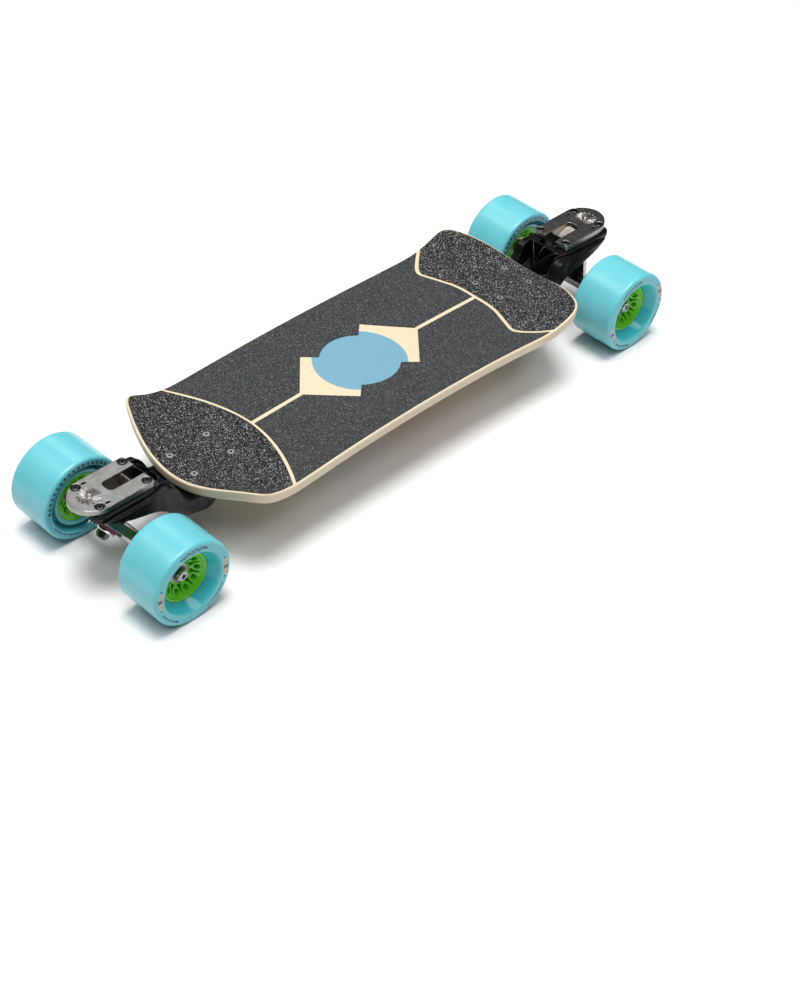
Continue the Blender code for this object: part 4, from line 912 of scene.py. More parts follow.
# ---------------------------------------------------------------- material helpers
class Graph:
    """Node graph of one Principled material; lengths in its coordinates are millimetres."""

    def __init__(self, name, base=(0.8, 0.8, 0.8), rough=0.5, metal=0.0):
        self.m = bpy.data.materials.new(name)
        self.m.use_nodes = True
        self.t = self.m.node_tree
        self.p = self.t.nodes["Principled BSDF"]
        self.p.inputs["Base Color"].default_value = (*base, 1.0)
        self.p.inputs["Roughness"].default_value = rough
        self.p.inputs["Metallic"].default_value = metal
        tc = self.t.nodes.new("ShaderNodeTexCoord")
        s = self.t.nodes.new("ShaderNodeVectorMath")
        s.operation = "SCALE"
        s.inputs["Scale"].default_value = 1000.0
        self.t.links.new(tc.outputs["Object"], s.inputs[0])
        self.co = s.outputs[0]
        q = self.t.nodes.new("ShaderNodeSeparateXYZ")
        self.t.links.new(self.co, q.inputs[0])
        self.x, self.y, self.z = q.outputs

    def _in(self, node, key, v):
        if hasattr(v, "is_output"):
            self.t.links.new(v, node.inputs[key])
        elif v is not None:
            node.inputs[key].default_value = v

    def math(self, op, a, b=None, c=None):
        n = self.t.nodes.new("ShaderNodeMath")
        n.operation = op
        for i, v in enumerate((a, b, c)):
            if v is not None:
                self._in(n, i, v)
        return n.outputs[0]

    def vec(self, x, y, z):
        n = self.t.nodes.new("ShaderNodeCombineXYZ")
        for i, v in enumerate((x, y, z)):
            self._in(n, i, v)
        return n.outputs[0]

    def scale(self, v, s):
        n = self.t.nodes.new("ShaderNodeVectorMath")
        n.operation = "MULTIPLY"
        self._in(n, 0, v)
        n.inputs[1].default_value = s
        return n.outputs[0]

    def add(self, v, w):
        n = self.t.nodes.new("ShaderNodeVectorMath")
        n.operation = "ADD"
        self._in(n, 0, v)
        self._in(n, 1, w)
        return n.outputs[0]

    def spin(self, v, angle):
        n = self.t.nodes.new("ShaderNodeVectorRotate")
        n.rotation_type = "Z_AXIS"
        self._in(n, "Vector", v)
        self._in(n, "Angle", angle)
        return n.outputs[0]

    def noise(self, size, detail=2.0, rough=0.5, vec=None, distortion=0.0, colour=False):
        """size is the feature size in millimetres."""
        n = self.t.nodes.new("ShaderNodeTexNoise")
        self._in(n, "Vector", self.co if vec is None else vec)
        n.inputs["Scale"].default_value = 1.0 / size
        n.inputs["Detail"].default_value = detail
        n.inputs["Roughness"].default_value = rough
        n.inputs["Distortion"].default_value = distortion
        return n.outputs["Color" if colour else "Fac"]

    def cells(self, size, out="Color", feature="F1", vec=None):
        n = self.t.nodes.new("ShaderNodeTexVoronoi")
        n.feature = feature
        self._in(n, "Vector", self.co if vec is None else vec)
        n.inputs["Scale"].default_value = 1.0 / size
        return n.outputs[out]

    def red(self, colour):
        n = self.t.nodes.new("ShaderNodeSeparateColor")
        self.t.links.new(colour, n.inputs[0])
        return n.outputs[0]

    def ramp(self, fac, stops, mode="LINEAR"):
        n = self.t.nodes.new("ShaderNodeValToRGB")
        r = n.color_ramp
        r.interpolation = mode
        while len(r.elements) < len(stops):
            r.elements.new(0.5)
        for e, (pos, col) in zip(r.elements, stops):
            e.position = pos
        for e, (pos, col) in zip(r.elements, stops):
            e.color = (col, col, col, 1.0) if isinstance(col, (int, float)) else (*col, 1.0)
        self._in(n, "Fac", fac)
        return n.outputs[0]

    def mix(self, fac, a, b, mode="MIX"):
        n = self.t.nodes.new("ShaderNodeMix")
        n.data_type = "RGBA"
        n.blend_type = mode
        self._in(n, 0, fac)
        for key, v in ((6, a), (7, b)):
            if hasattr(v, "is_output"):
                self.t.links.new(v, n.inputs[key])
            else:
                n.inputs[key].default_value = (*v, 1.0)
        return n.outputs[2]

    def span(self, v, a, b, c=0.0, d=1.0, smooth=False):
        n = self.t.nodes.new("ShaderNodeMapRange")
        n.interpolation_type = "SMOOTHSTEP" if smooth else "LINEAR"
        self._in(n, 0, v)
        for i, q in ((1, a), (2, b), (3, c), (4, d)):
            n.inputs[i].default_value = q
        return n.outputs[0]

    def between(self, v, a, b, soft=0.15):
        """1 where a < v < b, with soft edges."""
        lo = self.span(v, a - soft, a + soft)
        hi = self.span(v, b - soft, b + soft, 1.0, 0.0)
        return self.math("MULTIPLY", lo, hi)

    def bump(self, height, depth, strength=1.0, normal=None):
        """depth is the relief in millimetres for a height of 1."""
        n = self.t.nodes.new("ShaderNodeBump")
        n.inputs["Strength"].default_value = strength
        n.inputs["Distance"].default_value = depth * MM
        self.t.links.new(height, n.inputs["Height"])
        if normal is not None:
            self.t.links.new(normal, n.inputs["Normal"])
        return n.outputs[0]

    def set(self, key, v):
        self._in(self.p, key, v)
        return self


def cream_base(g, tint=(0.675, 0.572, 0.400)):
    """Pale satin wood finish: faint long grain and mottling."""
    grain = g.noise(1.0, 5.0, 0.6, g.scale(g.co, (0.012, 0.35, 0.35)))
    blot = g.noise(60.0, 3.0, 0.5)
    a = tuple(c * 0.955 for c in tint)
    b = tuple(c * 1.035 for c in tint)
    col = g.ramp(grain, [(0.3, a), (0.62, b)])
    return g.mix(g.span(blot, 0.35, 0.7, 0.0, 0.22), col, tuple(c * 0.96 for c in tint)), grain


def mat_deck_top():
    g = Graph("deck_top_cream", rough=0.42)
    col, grain = cream_base(g)
    r = g.math("SQRT", g.math("ADD", g.math("MULTIPLY", g.x, g.x), g.math("MULTIPLY", g.y, g.y)))
    disc = g.span(r, 56.2, 56.6, 1.0, 0.0)
    tone = g.ramp(g.noise(3.0, 4.0, 0.6), [(0.3, (0.150, 0.328, 0.430)), (0.7, (0.168, 0.350, 0.452))])
    g.set("Base Color", g.mix(disc, col, tone))
    g.set("Roughness", g.span(grain, 0.3, 0.7, 0.36, 0.46))
    g.set("Normal", g.bump(g.noise(0.8, 3.0), 0.02))
    g.p.inputs["Coat Weight"].default_value = 0.15
    g.p.inputs["Coat Roughness"].default_value = 0.25
    return g.m


def mat_deck_rail():
    """Edge of the laminate: thin veneer lines along the rail."""
    g = Graph("deck_rail_cream", rough=0.4)
    col, grain = cream_base(g, (0.66, 0.558, 0.41))
    fib = g.noise(1.0, 4.0, 0.6, g.scale(g.co, (0.02, 0.02, 1.4)))
    col = g.mix(g.span(fib, 0.42, 0.62, 0.0, 0.5), col, (0.62, 0.51, 0.365))
    g.set("Base Color", col)
    g.set("Roughness", g.span(fib, 0.3, 0.7, 0.34, 0.46))
    g.set("Normal", g.bump(fib, 0.03))
    g.p.inputs["Coat Weight"].default_value = 0.2
    g.p.inputs["Coat Roughness"].default_value = 0.2
    return g.m


def mat_deck_bottom():
    """Cream underside with embossed hatch lines in a tumbling-block layout and a printed band of painted triangles."""
    g = Graph("deck_bottom_cream", rough=0.40)
    col, grain = cream_base(g, (0.72, 0.62, 0.465))
    # hatch: hexagonal blocks of three rhombs, each filled with parallel lines
    S = 78.0
    H = S * math.sqrt(3.0)

    def cell(ox, oy):
        fx = g.math("SUBTRACT", g.math("MODULO", g.math("ADD", g.x, S * 60 + ox), S), S / 2)
        fy = g.math("SUBTRACT", g.math("MODULO", g.math("ADD", g.y, H * 60 + oy), H), H / 2)
        d = g.math("ADD", g.math("MULTIPLY", fx, fx), g.math("MULTIPLY", fy, fy))
        return fx, fy, d
    ax, ay, ad = cell(0.0, 0.0)
    bx, by, bd = cell(S / 2, H / 2)
    pick = g.math("LESS_THAN", bd, ad)

    def choose(a, b):
        n = g.t.nodes.new("ShaderNodeMix")
        n.data_type = "FLOAT"
        for i, v in ((0, pick), (2, a), (3, b)):
            g.t.links.new(v, n.inputs[i])
        return n.outputs[0]
    qx, qy = choose(ax, bx), choose(ay, by)
    ang = g.math("ADD", g.math("ARCTAN2", qy, qx), math.pi + math.radians(30.0))
    sec = g.math("FLOOR", g.math("DIVIDE", g.math("MODULO", ang, 2 * math.pi), 2 * math.pi / 3))
    turn = g.math("MULTIPLY", sec, 2 * math.pi / 3)
    v = g.math("ADD", g.math("MULTIPLY", qx, g.math("COSINE", turn)), g.math("MULTIPLY", qy, g.math("SINE", turn)))
    u = g.math("SUBTRACT", g.math("MULTIPLY", qy, g.math("COSINE", turn)), g.math("MULTIPLY", qx, g.math("SINE", turn)))
    h = g.math("ADD", g.math("MULTIPLY", v, math.cos(math.radians(30))), g.math("MULTIPLY", u, math.sin(math.radians(30))))
    f = g.math("ABSOLUTE", g.math("SUBTRACT", g.math("FRACT", g.math("DIVIDE", g.math("ADD", h, 400.0), 6.4)), 0.5))
    line = g.span(f, 0.06, 0.13, 1.0, 0.0, smooth=True)
    # painted band: triangles of an equilateral grid
    T, HT = 75.0, 65.0
    uu = g.math("SUBTRACT", g.math("DIVIDE", g.x, T), g.math("DIVIDE", g.y, 2 * HT))
    vv = g.math("DIVIDE", g.y, HT)
    iu, iv = g.math("FLOOR", uu), g.math("FLOOR", vv)
    fu, fv = g.math("SUBTRACT", uu, iu), g.math("SUBTRACT", vv, iv)
    s = g.math("GREATER_THAN", g.math("ADD", fu, fv), 1.0)
    k = g.math("ADD", g.math("ADD", g.math("MULTIPLY", g.math("ADD", iu, 2.0), 2.0), s), g.math("MULTIPLY", g.math("ADD", iv, 1.0), 8.0))
    # distance to the triangle's edges
    w = g.math("ABSOLUTE", g.math("SUBTRACT", 1.0, g.math("ADD", fu, fv)))
    e1 = g.math("MINIMUM", fu, g.math("SUBTRACT", 1.0, fu))
    e2 = g.math("MINIMUM", fv, g.math("SUBTRACT", 1.0, fv))
    edge = g.math("MULTIPLY", g.math("MINIMUM", g.math("MINIMUM", e1, e2), w), HT)
    inside_band = g.math("MULTIPLY", g.math("LESS_THAN", g.math("ADD", g.math("ABSOLUTE", g.x), g.math("MULTIPLY", g.math("ABSOLUTE", g.y), T / 2 / HT)), 2 * T - 0.8),
                         g.math("LESS_THAN", g.math("ABSOLUTE", g.y), HT - 0.6))
    rot = g.math("MULTIPLY", k, 2.399)
    shift = g.vec(g.math("MULTIPLY", k, 131.0), g.math("MULTIPLY", k, 57.0), 0.0)
    pv = g.add(g.spin(g.co, rot), shift)
    warp = g.noise(26.0, 3.0, 0.55, pv, colour=True)
    wv = g.add(pv, g.scale(warp, (34.0, 34.0, 0.0)))
    stroke = g.noise(1.0, 5.0, 0.62, g.scale(wv, (0.012, 0.085, 0.0)))
    t = g.span(stroke, 0.28, 0.72)
    pal = [
        [(0.0, (0.004, 0.075, 0.13)), (0.3, (0.0, 0.26, 0.40)), (0.55, (0.02, 0.52, 0.66)), (0.8, (0.38, 0.80, 0.86)), (1.0, (0.86, 0.95, 0.96))],
        [(0.0, (0.86, 0.70, 0.47)), (0.3, (0.93, 0.52, 0.14)), (0.55, (0.86, 0.27, 0.02)), (0.75, (0.95, 0.60, 0.25)), (1.0, (0.97, 0.85, 0.66))],
        [(0.0, (0.045, 0.012, 0.075)), (0.25, (0.22, 0.04, 0.20)), (0.5, (0.70, 0.20, 0.36)), (0.75, (0.90, 0.55, 0.60)), (1.0, (0.96, 0.84, 0.84))],
        [(0.0, (0.010, 0.016, 0.075)), (0.3, (0.02, 0.11, 0.19)), (0.55, (0.22, 0.50, 0.42)), (0.8, (0.62, 0.80, 0.62)), (1.0, (0.92, 0.93, 0.80))],
        [(0.0, (0.020, 0.022, 0.040)), (0.35, (0.13, 0.13, 0.19)), (0.6, (0.40, 0.40, 0.50)), (0.8, (0.70, 0.70, 0.78)), (1.0, (0.93, 0.92, 0.95))],
        [(0.0, (0.004, 0.050, 0.030)), (0.3, (0.01, 0.24, 0.12)), (0.6, (0.12, 0.52, 0.28)), (0.85, (0.52, 0.80, 0.52)), (1.0, (0.88, 0.95, 0.82))],
        [(0.0, (0.010, 0.020, 0.085)), (0.35, (0.03, 0.16, 0.42)), (0.55, (0.42, 0.05, 0.06)), (0.75, (0.88, 0.30, 0.03)), (1.0, (0.16, 0.42, 0.70))],
    ]
    order = [7, 4, 0, 2, 3, 1, 6, 7,      # lower row, from the tail: 7 is left bare
             1, 5, 7, 0, 2, 4, 3, 7]
    paint = None
    for n, stops in enumerate(pal):
        c = g.ramp(t, stops)
        if paint is None:
            paint = c
            continue
        mask = None
        for q, w2 in enumerate(order):
            if w2 == n:
                one = g.math("COMPARE", k, float(q), 0.4)
                mask = one if mask is None else g.math("ADD", mask, one)
        if mask is not None:
            paint = g.mix(mask, paint, c)
    bare = None
    for q, w2 in enumerate(order):
        if w2 == 7:
            one = g.math("COMPARE", k, float(q), 0.4)
            bare = one if bare is None else g.math("ADD", bare, one)
    cover = g.math("MULTIPLY", g.math("MULTIPLY", inside_band, g.math("SUBTRACT", 1.0, bare)), g.span(edge, 0.45, 0.65))
    # the embossed lines are painted darker, as shade in the grooves: plainly on the cream, faintly through the print
    col = g.mix(g.math("MULTIPLY", line, 0.30), col, (0.66, 0.52, 0.34))
    paint = g.mix(g.math("MULTIPLY", line, 0.16), paint, (0.10, 0.10, 0.14))
    g.set("Base Color", g.mix(cover, col, paint))
    g.set("Roughness", g.span(grain, 0.3, 0.7, 0.34, 0.44))
    g.set("Normal", g.bump(line, -0.22))
    g.p.inputs["Coat Weight"].default_value = 0.2
    g.p.inputs["Coat Roughness"].default_value = 0.2
    return g.m


def mat_grip(coarse):
    """Abrasive sheet: rounded grains of random size and tone; the palest few are partly their own pale tone and partly
    a painted glint.
    """
    g = Graph("grip_coarse_black" if coarse else "grip_fine_slate", rough=0.85)
    big, small = (1.06, 0.68) if coarse else (1.0, 0.65)
    warp = g.scale(g.noise(1.0, 2.0, 0.6, colour=True), (0.55, 0.55, 0.55))
    va, vb = g.add(g.co, warp), g.add(g.co, g.vec(31.0, 17.0, 5.0))
    a, da = g.red(g.cells(big, vec=va)), g.cells(big, "Distance", vec=va)
    b, db = g.red(g.cells(small, vec=vb)), g.cells(small, "Distance", vec=vb)
    if coarse:
        # the bright top of each ramp: pale grains, partly their own tone and partly painted glints
        ca = g.ramp(a, [(0.0, 0.003), (0.36, 0.005), (0.58, 0.014), (0.74, 0.055), (0.88, 0.23), (1.0, 0.78)])
        cb = g.ramp(b, [(0.0, 0.003), (0.55, 0.005), (0.80, 0.026), (1.0, 0.42)])
        gap = (0.003, 0.003, 0.003)
    else:
        # the bright top of each ramp: pale grains, partly their own tone and partly painted glints
        ca = g.ramp(a, [(0.0, (0.010, 0.011, 0.012)), (0.45, (0.032, 0.034, 0.036)), (0.75, (0.082, 0.084, 0.088)), (0.92, (0.21, 0.21, 0.215)), (1.0, (0.50, 0.50, 0.51))])
        cb = g.ramp(b, [(0.0, (0.013, 0.014, 0.015)), (0.6, (0.043, 0.044, 0.047)), (0.88, (0.145, 0.147, 0.152)), (1.0, (0.46, 0.46, 0.47))])
        gap = (0.012, 0.015, 0.016)
    ca = g.mix(g.span(da, 0.34, 0.66), ca, gap)
    cb = g.mix(g.span(db, 0.34, 0.66), cb, gap)
    col = g.mix(1.0, ca, cb, "LIGHTEN") if coarse else g.mix(0.5, ca, cb)
    wide = g.noise(9.0 if coarse else 45.0, 2.0)
    col = g.mix(g.span(wide, 0.4, 0.7, 0.0, 0.22), col, (0.008, 0.008, 0.008) if coarse else (0.040, 0.046, 0.048))
    height = g.math("ADD", da, g.math("MULTIPLY", db, 0.5))
    g.set("Normal", g.bump(height, -0.50 if coarse else -0.26))
    g.set("Roughness", g.span(a, 0.6, 1.0, 0.88, 0.50))
    g.set("Base Color", col)
    g.p.inputs["Specular IOR Level"].default_value = 0.27 if coarse else 0.35
    return g.m


def mat_bracket():
    """Black moulded plastic with a soft sheen and a very fine texture."""
    g = Graph("bracket_black_moulded", rough=0.36)
    n = g.noise(0.45, 1.0, 0.5)
    wide = g.noise(22.0, 3.0)
    g.set("Base Color", g.ramp(wide, [(0.3, (0.0038, 0.0038, 0.0042)), (0.7, (0.0062, 0.0061, 0.0065))]))
    g.set("Roughness", g.span(wide, 0.3, 0.7, 0.24, 0.33))
    g.set("Normal", g.bump(n, 0.007))
    g.p.inputs["Specular IOR Level"].default_value = 0.29
    return g.m


def mat_baseplate():
    """Tumbled casting: mottled grey flat, paler raw metal in the pocket and the rosette, slots painted black as their
    shade.
    """
    g = Graph("baseplate_cast", rough=0.34, metal=1.0)
    fine = g.noise(0.8, 3.0, 0.55)
    wide = g.noise(7.0, 4.0, 0.6)
    scratch = g.noise(1.6, 4.0, 0.65, g.add(g.scale(g.spin(g.co, 0.5), (0.30, 0.9, 0.5)), g.scale(g.noise(5.0, 2.0, 0.5, colour=True), (2.0, 2.0, 2.0))))
    tone = g.math("ADD", g.math("MULTIPLY", wide, 0.7), g.math("MULTIPLY", scratch, 0.3))
    col = g.ramp(tone, [(0.36, (0.25, 0.246, 0.24)), (0.50, (0.315, 0.31, 0.30)), (0.64, (0.39, 0.385, 0.372))])
    ax, ay = g.math("ABSOLUTE", g.x), g.math("ABSOLUTE", g.y)
    below = g.math("LESS_THAN", g.z, BASE_TOP - 0.25)
    dx = g.math("SUBTRACT", ax, ROSE_X)
    r = g.math("SQRT", g.math("ADD", g.math("MULTIPLY", dx, dx), g.math("MULTIPLY", g.y, g.y)))
    rose = g.math("MULTIPLY", g.math("LESS_THAN", r, 14.6), below)
    pocket = g.math("MULTIPLY", g.math("MULTIPLY", g.math("LESS_THAN", ay, 9.5), g.math("LESS_THAN", ax, 377.6)), g.span(g.z, BASE_TOP - 1.6, BASE_TOP - 0.5, 1.0, 0.0))
    raw = g.ramp(fine, [(0.3, (0.33, 0.305, 0.27)), (0.7, (0.44, 0.41, 0.37))])
    col = g.mix(g.math("MAXIMUM", rose, pocket), col, raw)
    # painted shade: the insides of the blind slots are coloured near black
    slot = g.math("MULTIPLY", g.math("MULTIPLY", g.between(ax, 385.2, 392.8, 0.05), g.math("LESS_THAN", g.math("ABSOLUTE", g.math("SUBTRACT", ay, 20.7)), 1.75)),
                  g.math("MULTIPLY", g.math("GREATER_THAN", g.z, BASE_TOP - 5.4), g.math("LESS_THAN", g.z, BASE_TOP - 0.7)))
    g.set("Base Color", g.mix(slot, col, (0.004, 0.004, 0.004)))
    g.set("Roughness", g.span(scratch, 0.3, 0.7, 0.27, 0.38))
    g.set("Normal", g.bump(g.math("ADD", fine, g.math("MULTIPLY", wide, 2.0)), 0.016))
    return g.m


def mat_hanger():
    """Polished casting with a smooth ground tube."""
    g = Graph("hanger_cast", rough=0.22, metal=1.0)
    fine = g.noise(1.4, 3.0, 0.5)
    wide = g.noise(12.0, 4.0, 0.6)
    grain = g.noise(1.0, 3.0, 0.5, g.scale(g.co, (1.4, 0.10, 1.4)))
    tone = g.math("ADD", g.math("MULTIPLY", wide, 0.6), g.math("MULTIPLY", grain, 0.4))
    g.set("Base Color", g.ramp(tone, [(0.36, (0.34, 0.33, 0.315)), (0.64, (0.43, 0.42, 0.40))]))
    g.set("Roughness", g.span(grain, 0.3, 0.7, 0.20, 0.28))
    g.set("Normal", g.bump(fine, 0.005))
    return g.m


def mat_metal(name, base, rough, size=0.8, dark=0.85):
    g = Graph(name, rough=rough, metal=1.0)
    f = g.noise(size, 3.0, 0.6)
    g.set("Base Color", g.ramp(f, [(0.3, tuple(c * dark for c in base)), (0.7, base)]))
    g.set("Roughness", g.span(f, 0.3, 0.7, rough * 0.8, rough * 1.25))
    g.set("Normal", g.bump(f, 0.008))
    return g.m


def mat_bolt(name, base, rough, metal=1.0, socket=1.95):
    """Screw on its local Z axis; the socket is painted dark, standing in for the shade inside it."""
    g = Graph(name, rough=rough, metal=metal)
    f = g.noise(0.9, 2.0, 0.5)
    col = g.ramp(f, [(0.3, tuple(c * 0.86 for c in base)), (0.7, base)])
    r = g.math("SQRT", g.math("ADD", g.math("MULTIPLY", g.x, g.x), g.math("MULTIPLY", g.y, g.y)))
    # painted shade inside the hexagon socket
    socket_shade = g.math("MULTIPLY", g.math("LESS_THAN", r, socket), g.math("MULTIPLY", g.math("LESS_THAN", g.z, -0.22), g.math("GREATER_THAN", g.z, -2.6)))
    g.set("Base Color", g.mix(socket_shade, col, (0.006, 0.006, 0.006)))
    g.set("Roughness", g.span(f, 0.3, 0.7, rough * 0.85, rough * 1.2))
    g.set("Normal", g.bump(f, 0.006))
    return g.m


def mat_axle():
    """Ground steel shaft with a thread near both ends."""
    g = Graph("axle_steel", rough=0.25, metal=1.0)
    ay = g.math("ABSOLUTE", g.y)
    mask = g.span(ay, 99.0, 100.0)
    wave = g.math("PINGPONG", g.math("ADD", ay, g.math("DIVIDE", g.math("ARCTAN2", g.math("SUBTRACT", g.z, WHEEL_R), g.math("SUBTRACT", g.math("ABSOLUTE", g.x), AXLE_X)), 2 * math.pi)), 0.5)
    f = g.noise(1.0, 3.0, 0.6, g.scale(g.co, (1.0, 0.1, 1.0)))
    dx, dz = g.math("SUBTRACT", g.math("ABSOLUTE", g.x), AXLE_X), g.math("SUBTRACT", g.z, WHEEL_R)
    r = g.math("SQRT", g.math("ADD", g.math("MULTIPLY", dx, dx), g.math("MULTIPLY", dz, dz)))
    end = g.math("MULTIPLY", g.math("GREATER_THAN", ay, 107.3), g.span(r, 2.7, 2.9, 1.0, 0.0))
    g.set("Base Color", g.mix(end, g.ramp(f, [(0.3, (0.40, 0.40, 0.40)), (0.7, (0.60, 0.60, 0.60))]), (0.014, 0.013, 0.014)))
    g.set("Roughness", g.span(f, 0.3, 0.7, 0.2, 0.32))
    g.set("Normal", g.bump(g.math("MULTIPLY", wave, mask), 0.5))
    return g.m


def mat_bushing():
    g = Graph("bushing_red_urethane", rough=0.3)
    n = g.noise(3.0, 3.0)
    g.set("Base Color", g.ramp(n, [(0.3, (0.20, 0.010, 0.022)), (0.7, (0.30, 0.016, 0.032))]))
    g.set("Roughness", g.span(g.noise(0.8, 3.0), 0.3, 0.7, 0.24, 0.38))
    g.p.inputs["Subsurface Weight"].default_value = 0.2
    g.p.inputs["Subsurface Scale"].default_value = 0.003
    return g.m


def mat_tyre(roll=0.0):
    """Cast urethane: even blue, glossy faces, ground tread, printed marks on both faces, turned with the wheel; painted
    shade darkens the dish and the inner groove.
    """
    g = Graph("tyre_blue_urethane", rough=0.3)
    if roll:
        turned, split = g.t.nodes.new("ShaderNodeVectorRotate"), g.t.nodes.new("ShaderNodeSeparateXYZ")
        turned.rotation_type = "Y_AXIS"
        g._in(turned, "Vector", g.co)
        g._in(turned, "Angle", -roll)
        g.co = turned.outputs[0]
        g.t.links.new(g.co, split.inputs[0])
        g.x, g.y, g.z = split.outputs[0], split.outputs[1], split.outputs[2]
    wide = g.noise(30.0, 3.0)
    r = g.math("SQRT", g.math("ADD", g.math("MULTIPLY", g.x, g.x), g.math("MULTIPLY", g.z, g.z)))
    ang = g.math("ARCTAN2", g.z, g.x)
    col = g.ramp(wide, [(0.3, (0.134, 0.510, 0.575)), (0.7, (0.156, 0.550, 0.610))])
    # the dish of the outer side and the groove of the inner side are painted darker, standing in for the shade in these
    # recesses
    dish_shade = g.math("MULTIPLY", g.math("GREATER_THAN", g.y, WHEEL_OUT - WHEEL_MID - 14.0), g.span(r, 37.5, 40.0, 1.0, 0.0))
    col = g.mix(g.math("MULTIPLY", dish_shade, 0.85), col, (0.040, 0.460, 0.520))
    # painted shade in the groove of the inner side
    groove_shade = g.math("MULTIPLY", g.math("LESS_THAN", g.y, WHEEL_IN - WHEEL_MID + 14.0), g.math("MULTIPLY", g.span(r, 35.5, 36.0), g.span(r, 41.8, 42.3, 1.0, 0.0)))
    col = g.mix(groove_shade, col, (0.062, 0.370, 0.435))
    outer = g.math("GREATER_THAN", g.y, WHEEL_OUT - WHEEL_MID - 0.6)
    inner = g.math("LESS_THAN", g.y, WHEEL_IN - WHEEL_MID + 0.6)
    navy = (0.008, 0.030, 0.085)
    up = g.math("SUBTRACT", ang, math.pi / 2)
    side = g.math("ARCTAN2", g.math("ABSOLUTE", g.z), g.math("ABSOLUTE", g.x))
    # chevron stripes fore and aft of the wheel's centre
    s = g.math("SUBTRACT", g.math("MULTIPLY", side, 45.4), g.math("MULTIPLY", g.math("ABSOLUTE", g.math("SUBTRACT", r, 45.4)), 0.55))
    grp = g.math("MULTIPLY", g.math("MULTIPLY", g.between(r, 42.7, 48.1, 0.12), outer), g.math("LESS_THAN", side, 0.45))
    sand, rust, plum = (0.66, 0.47, 0.26), (0.56, 0.17, 0.06), (0.085, 0.022, 0.060)
    zz = g.span(s, -2.0, 11.0)
    tone = g.ramp(zz, [(0.0, plum), (0.23, rust), (0.345, sand), (0.60, rust), (0.685, sand)], "CONSTANT")
    on = g.ramp(zz, [(0.0, 1.0), (0.45, 0.0), (0.54, 1.0), (0.78, 0.0), (0.86, 1.0), (0.955, 0.0)], "CONSTANT")
    col = g.mix(g.math("MULTIPLY", g.math("MULTIPLY", grp, on), 0.90), col, tone)
    # small triangles at the ends of each group
    tz = g.math("SUBTRACT", g.math("MULTIPLY", side, 46.0), 12.4)
    tri = g.math("MULTIPLY", g.between(tz, 0.0, 2.8, 0.1), g.math("LESS_THAN", g.math("ABSOLUTE", g.math("SUBTRACT", r, 45.6)), g.math("SUBTRACT", 1.75, g.math("MULTIPLY", tz, 0.60))))
    tri = g.math("MULTIPLY", tri, outer)
    # rows of fine dashes of uneven length along the lower part
    low = g.math("ABSOLUTE", g.math("ADD", ang, math.pi / 2))
    row = g.noise(1.0, 0.0, 0.5, g.vec(g.math("MULTIPLY", ang, 34.0), 0.0, 3.0))
    row = g.math("MULTIPLY", g.math("GREATER_THAN", row, 0.44), g.between(r, 44.8, 46.9, 0.12))
    low = g.math("MULTIPLY", g.math("MULTIPLY", row, outer), g.between(low, 0.44, 1.10, 0.01))
    # twisted braid over the top: two crossing waves with dots in their eyes, tapering to both ends
    t = g.math("DIVIDE", up, 0.42)
    env = g.math("MAXIMUM", g.math("SUBTRACT", 1.0, g.math("MULTIPLY", t, t)), 0.0)
    amp = g.math("MULTIPLY", g.math("SQRT", env), 2.15)
    wave = g.math("MULTIPLY", g.math("SINE", g.math("MULTIPLY", up, 27.0)), amp)
    off = g.math("SUBTRACT", r, 45.0)
    d1 = g.math("ABSOLUTE", g.math("SUBTRACT", off, wave))
    d2 = g.math("ABSOLUTE", g.math("ADD", off, wave))
    line = g.math("MAXIMUM", g.span(d1, 0.72, 0.92, 1.0, 0.0), g.span(d2, 0.46, 0.62, 1.0, 0.0))
    eye = g.math("ABSOLUTE", g.math("COSINE", g.math("MULTIPLY", up, 27.0)))
    dot = g.math("MULTIPLY", g.math("LESS_THAN", eye, 0.24), g.math("LESS_THAN", g.math("ABSOLUTE", off), 0.6))
    top = g.math("MULTIPLY", g.math("MAXIMUM", line, dot), g.math("MULTIPLY", outer, g.math("GREATER_THAN", env, 0.001)))
    # inner face: small triangles round the upper part, fine dashes below
    u = g.math("FRACT", g.math("MULTIPLY", g.math("ADD", ang, 4.0), 44 / (2 * math.pi)))
    v = g.span(r, 44.2, 48.4)
    lean = g.math("SUBTRACT", u, g.math("ADD", 0.42, g.math("MULTIPLY", v, 0.14)))
    teeth = g.math("MULTIPLY", g.math("LESS_THAN", g.math("ABSOLUTE", lean), g.math("MULTIPLY", g.math("SUBTRACT", 1.12, v), 0.38)), g.between(r, 44.2, 48.4, 0.05))
    teeth = g.math("MULTIPLY", teeth, g.math("LESS_THAN", g.math("ABSOLUTE", up), 1.86))
    under = g.math("MULTIPLY", g.math("MULTIPLY", g.math("GREATER_THAN", g.noise(1.0, 0.0, 0.5, g.vec(g.math("MULTIPLY", ang, 30.0), 7.0, 3.0)), 0.46), g.between(r, 44.2, 45.8, 0.12)),
                   g.between(g.math("ABSOLUTE", g.math("ADD", ang, math.pi / 2)), 0.18, 1.12, 0.01))
    back = g.math("MULTIPLY", g.math("MAXIMUM", teeth, under), inner)
    ink = g.math("MAXIMUM", g.math("MAXIMUM", g.math("MAXIMUM", tri, low), top), back)
    col = g.mix(g.math("MULTIPLY", ink, 0.92), col, navy)
    g.set("Base Color", col)
    ground = g.span(r, 50.6, 51.8)
    soft = g.noise(9.0, 2.0, 0.5)
    g.set("Roughness", g.math("ADD", g.span(ground, 0.0, 1.0, 0.05, 0.25), g.span(soft, 0.3, 0.7, -0.01, 0.02)))
